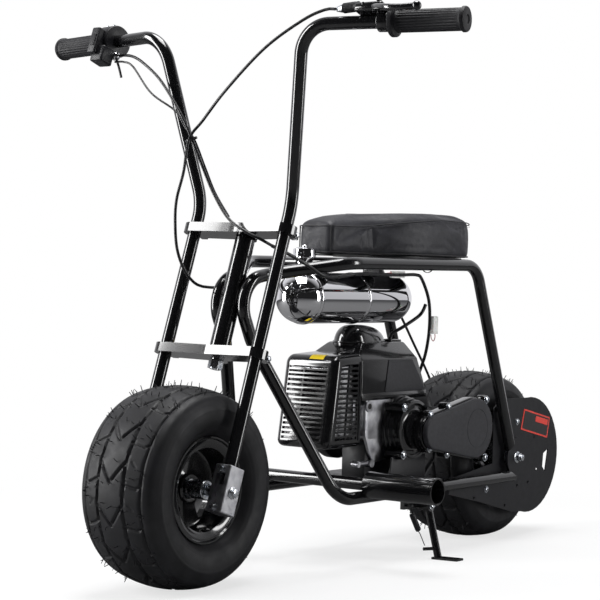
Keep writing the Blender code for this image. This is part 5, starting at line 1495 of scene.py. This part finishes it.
FASTENERS = (
    # kind, body, finish, in the steering frame?, (place, facing, size)
    ("pan", "frame", "zinc", False, tuple(
        ((CASE_OUTER + 0.0002, y, z), (1, 0, 0), 1.15) for y, z in CASE_BOLTS)),
    ("pan", "frame", "zinc", False, (
        *(((0.0986, y, z), (1, 0, 0), 1.15) for y, z in CLUTCH_BOLTS),
        ((GUARD_FACE, 0.4702, 0.2328), (1, 0, 0), 1.0), ((GUARD_FACE, 0.3565, 0.1072), (1, 0, 0), 1.0),
        ((-0.085, 0.02, 0.1455), (0, 0, 1), 0.8), ((0.09, 0.0, 0.1455), (0, 0, 1), 0.8),
        ((-0.085, 0.14, 0.1455), (0, 0, 1), 0.8))),
    ("hex", "frame", "zinc", False, (
        ((RAIL_HALF + 0.0027, REAR_AXLE.y, REAR_AXLE.z), (1, 0, 0), 1.7),
        ((-RAIL_HALF - 0.0027, REAR_AXLE.y, REAR_AXLE.z), (-1, 0, 0), 1.7),
        ((STAND_PIVOT.x + 0.0062, STAND_PIVOT.y, STAND_PIVOT.z + 0.0016), (0.966, 0, 0.259), 1.1))),
    ("hex", "fork", "zinc", True, (
        ((FORK_HALF + 0.0161, -FORK_OFFSET, 0.0), (1, 0, 0), 1.5),
        ((-FORK_HALF - 0.0161, -FORK_OFFSET, 0.0), (-1, 0, 0), 1.5),
        ((FORK_HALF - 0.0005, -0.0386, 0.034), (0, -1, 0), 1.0),
        ((FORK_HALF - 0.0005, -0.0386, -0.0285), (0, -1, 0), 1.0),
        ((-FORK_HALF, -0.0386, 0.034), (0, -1, 0), 1.0), ((-FORK_HALF, -0.0386, -0.0285), (0, -1, 0), 1.0))),
    ("hex", "fork", "zinc", True, tuple(
        ((sign * (FORK_HALF + 0.0062), 0.0035, height), (sign, 0, 0), 0.85) for sign in (1, -1)
        for height in CLAMPS)),
)


def fasteners():
    """Bolt and screw heads, set in groups by kind and body."""
    for count, (kind, body, finish, steering, spots) in enumerate(FASTENERS):
        place = STEERING if steering else BIKE
        heads = repeat(f"{body}_{kind}_heads_{count}", head_template(kind), spots, finish, place)
        dress(heads, finish, body)


def cables():
    """Control cables, ties, connectors and the loose red wire."""
    for name, (radius, body, points) in CABLES.items():
        dress(tube(name + "_sheath", smooth(points), radius, "cable_black", sides=20), "cable_black", body,
              replaces=(name,))
    shell = box("connector_shell", (0.0705, 0.1868, 0.4095), (0.0785, 0.203, 0.4425))
    soften(shell, 0.001, 2)
    dress(shell, "white_plastic", "frame", replaces=("lead_connector",))
    shell = box("rail_connector_shell", (0.0879, 0.0215, 0.5125), (0.0934, 0.064, 0.525))
    soften(shell, 0.001, 2)
    dress(shell, "white_plastic", "frame", replaces=("rail_connector",))
    wires = [tube("wire", smooth(points, 0.003), 0.0008, "red_wire", sides=8) for points in (
        ((0.075, 0.196, 0.413), (0.077, 0.195, 0.403), (0.0765, 0.19, 0.396), (0.074, 0.187, 0.401),
         (0.0715, 0.189, 0.408)),
        ((0.0905, 0.022, 0.519), (0.0905, 0.006, 0.518), (0.0925, -0.01, 0.5185)),
        ((0.0915, 0.022, 0.521), (0.0925, 0.006, 0.5205), (0.093, -0.008, 0.519)))]
    dress(merge("red_wires", *wires), "red_wire", "frame")
    ties = []
    for place, way, radius in (
            ((-0.079, -0.3395, 0.738), (0.3, 0.2, -0.93), 0.0096),
            ((0.108, 0.115, RAIL_HEIGHT), (0, 1, 0), 0.0118)):
        band = [(radius, -0.0017), (radius + 0.001, -0.0017), (radius + 0.001, 0.0017), (radius, 0.0017)]
        ties.append(lathe("tie", band, on_bike(*place) @ toward(way), 40))
    dress(ties[0], "cable_black", "fork")
    dress(ties[1], "cable_black", "frame")
    ties[0].name, ties[1].name = "fork_cable_tie", "rail_cable_tie"


def labels(settings):
    """Blank stickers where the real bike carries printed ones."""
    for name, colour in (("yellow_label", settings.yellow), ("red_label", settings.red)):
        FINISHES[name].node_tree.nodes["Principled BSDF"].inputs["Base Color"].default_value = (*colour, 1)
    upright = BIKE.inverted()
    guard = bpy.data.objects["louvred_guard"]
    below = BVHTree.FromPolygons([upright @ vertex.co for vertex in guard.data.vertices],
                                 [face.vertices[:] for face in guard.data.polygons])
    mesh = bpy.data.meshes.new("guard_label")
    spots = []
    for row in range(15):
        for step in range(9):
            spot = Vector((-0.004 + 0.0038 * step, -0.09 + 0.0013 * row, 0.42))
            spots.append(BIKE @ (below.ray_cast(spot, Vector((0, 0, -1)))[0] + Vector((0, -0.0002, 0.0004))))
    mesh.from_pydata(spots, [], [(row * 9 + step, row * 9 + step + 1, row * 9 + step + 10, row * 9 + step + 9)
                                 for row in range(14) for step in range(8)])
    dress(new_object("guard_label", mesh), "yellow_label", "frame")

    def corner(across, down):
        top = Vector((0.4969, 0.2574)).lerp((0.6015, 0.2357), across)
        low = Vector((0.4839, 0.2168)).lerp((0.5921, 0.194), across)
        return top.lerp(low, down)

    for name, finish, lift, left, right, high, low in (
            ("guard_sticker_border", "red_label", 0.0003, 0.0, 1.0, 0.0, 1.0),
            ("guard_sticker_field", "label_black", 0.0006, 0.035, 0.965, 0.075, 0.925),
            ("guard_sticker_bar", "red_label", 0.0009, 0.47, 0.93, 0.15, 0.42)):
        corners = ((left, high), (right, high), (right, low), (left, low))
        outline = ring_outline([(corner(*spot), 0.0015) for spot in corners], 4)
        dress(slab(name, outline, 0.0004, side_on(GUARD_FACE + lift)), finish, "frame")


CAD_FINISHES = {
    "gloss_black": ("lower_clamp", "upper_clamp", "front_bridge", "middle_bridge", "rear_bridge", "stand_leg",
                    "stand_bracket"),
    "cast_silver": ("left_axle_bracket", "right_axle_bracket"),
    "satin_black": ("left_dropout", "right_dropout", "seat_pan", "chain_guard", "brake_caliper"),
    "zinc": ("steering_stem",),
}


def paint():
    """The finish of every CAD node whose shape stays."""
    for finish, names in CAD_FINISHES.items():
        for name in names:
            node = frame["nodes"][name]
            node.data.materials.clear()
            node.data.materials.append(FINISHES[finish])


# Stage

def emitter(name, place, target, size, strength):
    """A soft box that shines towards a point."""
    light = bpy.data.lights.new(name, "AREA")
    light.shape, light.size, light.size_y = "RECTANGLE", *size
    light.energy = strength
    thing = bpy.data.objects.new(name, light)
    bpy.context.scene.collection.objects.link(thing)
    thing.location = place
    thing.rotation_euler = (Vector(target) - Vector(place)).to_track_quat("-Z", "Y").to_euler()


def aside(azimuth, distance, height):
    turn = math.radians(azimuth)
    return Vector((math.sin(turn) * distance, -math.cos(turn) * distance, height))


def world(settings):
    """White to the camera, an even fill for soft surfaces, and for reflections paper behind a dark studio."""
    surroundings = bpy.data.worlds.new("studio")
    bpy.context.scene.world = surroundings
    surroundings.use_nodes = True
    tree = surroundings.node_tree
    nodes = tree.nodes
    nodes.clear()
    out = nodes.new("ShaderNodeOutputWorld")
    ray = nodes.new("ShaderNodeLightPath")
    grounds = {}
    for name, colour, strength in (("fill", (0.93, 0.95, 1.0, 1), settings.fill),
                                   ("room", (0.97, 0.97, 1.0, 1), 1.0), ("paper", (1, 1, 1, 1), 1.0)):
        grounds[name] = set_inputs(nodes.new("ShaderNodeBackground"), Color=colour, Strength=strength)
    place = nodes.new("ShaderNodeTexCoord")
    dot = nodes.new("ShaderNodeVectorMath")
    dot.operation = "DOT_PRODUCT"
    dot.inputs[1].default_value = aside(math.degrees(CAMERA_AZIMUTH) + 180, 1, 0)
    brightness = set_inputs(nodes.new("ShaderNodeMapRange"), From_Min=-0.05, From_Max=0.5, To_Min=0.015,
                            To_Max=0.8)
    link(tree, place, "Generated", dot, 0)
    link(tree, dot, "Value", brightness, "Value")
    link(tree, brightness, "Result", grounds["room"], "Strength")
    soft = nodes.new("ShaderNodeMixShader")
    pick = nodes.new("ShaderNodeMixShader")
    link(tree, ray, "Is Glossy Ray", soft, "Fac")
    link(tree, grounds["fill"], "Background", soft, 1)
    link(tree, grounds["room"], "Background", soft, 2)
    link(tree, ray, "Is Camera Ray", pick, "Fac")
    link(tree, soft, "Shader", pick, 1)
    link(tree, grounds["paper"], "Background", pick, 2)
    link(tree, pick, "Shader", out, "Surface")


def floor():
    """Pale floor that keeps the bike's shadow, fades to paper white, and is darker in reflections."""
    mesh = bpy.data.meshes.new("floor")
    mesh.from_pydata([(-6, -6, 0), (6, -6, 0), (6, 6, 0), (-6, 6, 0)], [], [(0, 1, 2, 3)])
    mesh.transform(Matrix.Translation((0, 0, -0.0004)))
    ground = new_object("floor", mesh)
    material = bpy.data.materials.new("paper")
    material.use_nodes = True
    tree = material.node_tree
    nodes = tree.nodes
    shader = set_inputs(nodes["Principled BSDF"], Roughness=0.9)
    ray = nodes.new("ShaderNodeLightPath")
    tone = set_inputs(nodes.new("ShaderNodeMapRange"), To_Min=0.86, To_Max=0.16)
    link(tree, ray, "Is Glossy Ray", tone, "Value")
    link(tree, tone, "Result", shader, "Base Color")
    glow = set_inputs(nodes.new("ShaderNodeEmission"), Strength=1.0)
    place = nodes.new("ShaderNodeTexCoord")
    far = nodes.new("ShaderNodeVectorMath")
    far.operation = "LENGTH"
    fade = nodes.new("ShaderNodeMapRange")
    fade.interpolation_type = "SMOOTHSTEP"
    set_inputs(fade, From_Min=0.6, From_Max=1.5, To_Min=0.7, To_Max=1.0)
    share = nodes.new("ShaderNodeMath")
    share.operation = "MULTIPLY"
    pick = nodes.new("ShaderNodeMixShader")
    link(tree, place, "Object", far, 0)
    link(tree, far, "Value", fade, "Value")
    link(tree, ray, "Is Camera Ray", share, 0)
    link(tree, fade, "Result", share, 1)
    link(tree, share, "Value", pick, "Fac")
    link(tree, shader, "BSDF", pick, 1)
    link(tree, glow, "Emission", pick, 2)
    link(tree, pick, "Shader", nodes["Material Output"], "Surface")
    mesh.materials.append(material)


def stage(settings):
    """Floor, world, soft boxes and the camera at the photograph's angle."""
    scene = bpy.context.scene
    scene.view_settings.view_transform = "Standard"
    world(settings)
    floor()
    emitter("front_right_box", aside(-44, 2.6, 1.1), (0, 0, 0.45), (0.6, 2.5), settings.box_power)
    emitter("rear_left_box", aside(117, 2.6, 0.75), (0, 0, 0.45), (0.4, 1.8), 24)
    emitter("overhead_box", (0.1, -0.1, 3.0), (0, 0, 0.4), (1.4, 1.8), settings.overhead_power)
    lens = bpy.data.cameras.new("camera")
    lens.lens, lens.sensor_width = LENS_LENGTH, SENSOR_WIDTH
    camera = bpy.data.objects.new("camera", lens)
    scene.collection.objects.link(camera)
    camera.location = CAMERA_PLACE + BIKE.translation
    camera.rotation_euler = (math.pi / 2 - CAMERA_ELEVATION, 0, CAMERA_AZIMUTH)
    scene.camera = camera


# The add-on: settings, one operator for each group of pieces, and a panel

class MinibikeTyres(bpy.types.PropertyGroup):
    pitches: IntProperty(name="Tread pitches", description="Repeats of the tread round one tyre", default=15,
                         min=6, max=40)
    hairs: IntProperty(name="Moulding hairs", description="Fine rubber hairs left on one tyre", default=300,
                       min=0, max=600)


class MinibikeSeat(bpy.types.PropertyGroup):
    swell: FloatProperty(name="Swell", description="Furthest that the padding pushes the cover out",
                         default=0.0035, min=0, max=0.008, subtype="DISTANCE", unit="LENGTH")
    stitch_pitch: FloatProperty(name="Stitch pitch",
                                description="Distance between two stitches of the top seam", default=0.0045,
                                min=0.002, max=0.02, subtype="DISTANCE", unit="LENGTH")


class MinibikeGuard(bpy.types.PropertyGroup):
    louvres: IntProperty(name="Louvres", description="Rows of slots in the muffler's guard", default=16,
                         min=1, max=17)
    louvre_pitch: FloatProperty(name="Louvre pitch", description="Distance between two rows of slots",
                                default=0.0084, min=0.006, max=0.02, subtype="DISTANCE", unit="LENGTH")


class MinibikeLabels(bpy.types.PropertyGroup):
    yellow: FloatVectorProperty(name="Yellow", description="Colour of the blank label on the muffler's guard",
                                default=(0.86, 0.62, 0.01), min=0, max=1, subtype="COLOR")
    red: FloatVectorProperty(name="Red", description="Colour of the border of the sticker on the chain guard",
                             default=(0.6, 0.045, 0.03), min=0, max=1, subtype="COLOR")


class MinibikeStage(bpy.types.PropertyGroup):
    fill: FloatProperty(name="Fill", description="Strength of the even light from all round", default=0.26,
                        min=0, max=1)
    box_power: FloatProperty(name="Side box", description="Power of the soft box at the front right",
                             default=78, min=0, unit="POWER")
    overhead_power: FloatProperty(name="Overhead box", description="Power of the soft box above", default=80,
                                  min=0, unit="POWER")


SETTINGS = {"minibike_tyres": MinibikeTyres, "minibike_seat": MinibikeSeat, "minibike_guard": MinibikeGuard,
            "minibike_labels": MinibikeLabels, "minibike_stage": MinibikeStage}


class MINIBIKE_OT_stage(bpy.types.Operator):
    """Sets up the floor, the light and the camera"""
    bl_idname = "minibike.stage"
    bl_label = "Stage"

    def execute(self, context):
        stage(context.scene.minibike_stage)
        return {"FINISHED"}


class MINIBIKE_OT_paint(bpy.types.Operator):
    """Gives the CAD pieces that keep their shape their finishes"""
    bl_idname = "minibike.paint"
    bl_label = "Paint CAD pieces"

    def execute(self, context):
        paint()
        return {"FINISHED"}


class MINIBIKE_OT_wheels(bpy.types.Operator):
    """Builds the treaded tyres and turned rims"""
    bl_idname = "minibike.wheels"
    bl_label = "Wheels"

    def execute(self, context):
        wheels(context.scene.minibike_tyres)
        return {"FINISHED"}


class MINIBIKE_OT_tubes(bpy.types.Operator):
    """Builds the frame loops, fork tubes, head tube and foot pegs"""
    bl_idname = "minibike.tubes"
    bl_label = "Tubes"

    def execute(self, context):
        tubes()
        return {"FINISHED"}


class MINIBIKE_OT_grips(bpy.types.Operator):
    """Builds the fluted rubber grips"""
    bl_idname = "minibike.grips"
    bl_label = "Grips"

    def execute(self, context):
        grips()
        return {"FINISHED"}


class MINIBIKE_OT_throttle(bpy.types.Operator):
    """Builds the throttle drum with its switch, lock and strap"""
    bl_idname = "minibike.throttle"
    bl_label = "Throttle"

    def execute(self, context):
        throttle()
        return {"FINISHED"}


class MINIBIKE_OT_lever(bpy.types.Operator):
    """Builds the brake lever with its perch and adjuster"""
    bl_idname = "minibike.lever"
    bl_label = "Brake lever"

    def execute(self, context):
        lever()
        return {"FINISHED"}


class MINIBIKE_OT_seat(bpy.types.Operator):
    """Builds the padded seat with its seams and stitches"""
    bl_idname = "minibike.seat"
    bl_label = "Seat"

    def execute(self, context):
        seat(context.scene.minibike_seat)
        return {"FINISHED"}


class MINIBIKE_OT_tank(bpy.types.Operator):
    """Builds the chromed tank with its neck and cap"""
    bl_idname = "minibike.tank"
    bl_label = "Tank"

    def execute(self, context):
        tank()
        return {"FINISHED"}


class MINIBIKE_OT_muffler(bpy.types.Operator):
    """Builds the muffler and its louvred guard"""
    bl_idname = "minibike.muffler"
    bl_label = "Muffler"

    def execute(self, context):
        muffler(context.scene.minibike_guard)
        return {"FINISHED"}


class MINIBIKE_OT_cowl(bpy.types.Operator):
    """Builds the engine's cowl and hood"""
    bl_idname = "minibike.cowl"
    bl_label = "Cowl"

    def execute(self, context):
        cowl()
        return {"FINISHED"}


class MINIBIKE_OT_crankcase(bpy.types.Operator):
    """Builds the cast crankcase and its mount"""
    bl_idname = "minibike.crankcase"
    bl_label = "Crankcase"

    def execute(self, context):
        crankcase()
        return {"FINISHED"}


class MINIBIKE_OT_clutch(bpy.types.Operator):
    """Builds the clutch housing"""
    bl_idname = "minibike.clutch"
    bl_label = "Clutch"

    def execute(self, context):
        clutch()
        return {"FINISHED"}


class MINIBIKE_OT_intake(bpy.types.Operator):
    """Builds the recoil starter and the air cleaner"""
    bl_idname = "minibike.intake"
    bl_label = "Intake and starter"

    def execute(self, context):
        intake()
        return {"FINISHED"}


class MINIBIKE_OT_gear_case(bpy.types.Operator):
    """Builds the gear case with its cover and pinion"""
    bl_idname = "minibike.gear_case"
    bl_label = "Gear case"

    def execute(self, context):
        gear_case()
        return {"FINISHED"}


class MINIBIKE_OT_drive(bpy.types.Operator):
    """Builds the chain, sprocket, brake disc and axles"""
    bl_idname = "minibike.drive"
    bl_label = "Drive and brake"

    def execute(self, context):
        drive()
        return {"FINISHED"}


class MINIBIKE_OT_stand(bpy.types.Operator):
    """Builds the side stand's coil spring"""
    bl_idname = "minibike.stand"
    bl_label = "Stand spring"

    def execute(self, context):
        stand()
        return {"FINISHED"}


class MINIBIKE_OT_fasteners(bpy.types.Operator):
    """Sets the heads of the bolts and screws"""
    bl_idname = "minibike.fasteners"
    bl_label = "Bolts and screws"

    def execute(self, context):
        fasteners()
        return {"FINISHED"}


class MINIBIKE_OT_cables(bpy.types.Operator):
    """Builds the cables, ties, connectors and wires"""
    bl_idname = "minibike.cables"
    bl_label = "Cables"

    def execute(self, context):
        cables()
        return {"FINISHED"}


class MINIBIKE_OT_labels(bpy.types.Operator):
    """Lays the blank labels on"""
    bl_idname = "minibike.labels"
    bl_label = "Labels"

    def execute(self, context):
        labels(context.scene.minibike_labels)
        return {"FINISHED"}


OPERATORS = (MINIBIKE_OT_stage, MINIBIKE_OT_paint, MINIBIKE_OT_wheels, MINIBIKE_OT_tubes, MINIBIKE_OT_grips,
             MINIBIKE_OT_throttle, MINIBIKE_OT_lever, MINIBIKE_OT_seat, MINIBIKE_OT_tank, MINIBIKE_OT_muffler,
             MINIBIKE_OT_cowl, MINIBIKE_OT_crankcase, MINIBIKE_OT_clutch, MINIBIKE_OT_intake,
             MINIBIKE_OT_gear_case, MINIBIKE_OT_drive, MINIBIKE_OT_stand, MINIBIKE_OT_fasteners,
             MINIBIKE_OT_cables, MINIBIKE_OT_labels)


class MINIBIKE_PT_pieces(bpy.types.Panel):
    """The settings and the steps that build the minibike"""
    bl_idname = "MINIBIKE_PT_pieces"
    bl_label = "Minibike"
    bl_space_type = "VIEW_3D"
    bl_region_type = "UI"
    bl_category = "Minibike"

    def draw(self, context):
        for name in SETTINGS:
            settings = getattr(context.scene, name)
            for field in settings.bl_rna.properties:
                if field.identifier not in ("rna_type", "name"):
                    self.layout.prop(settings, field.identifier)
        for operator in OPERATORS:
            self.layout.operator(operator.bl_idname)


def register():
    for name, group in SETTINGS.items():
        bpy.utils.register_class(group)
        setattr(bpy.types.Scene, name, PointerProperty(type=group))
    for kind in OPERATORS + (MINIBIKE_PT_pieces,):
        bpy.utils.register_class(kind)


def unregister():
    for kind in reversed(OPERATORS + (MINIBIKE_PT_pieces,)):
        bpy.utils.unregister_class(kind)
    for name, group in SETTINGS.items():
        delattr(bpy.types.Scene, name)
        bpy.utils.unregister_class(group)


def main():
    register()
    for operator in OPERATORS:
        group, step = operator.bl_idname.split(".")
        getattr(getattr(bpy.ops, group), step)()
    for template in TEMPLATES:
        bpy.data.objects.remove(template)


if __name__ == "__main__":
    main()
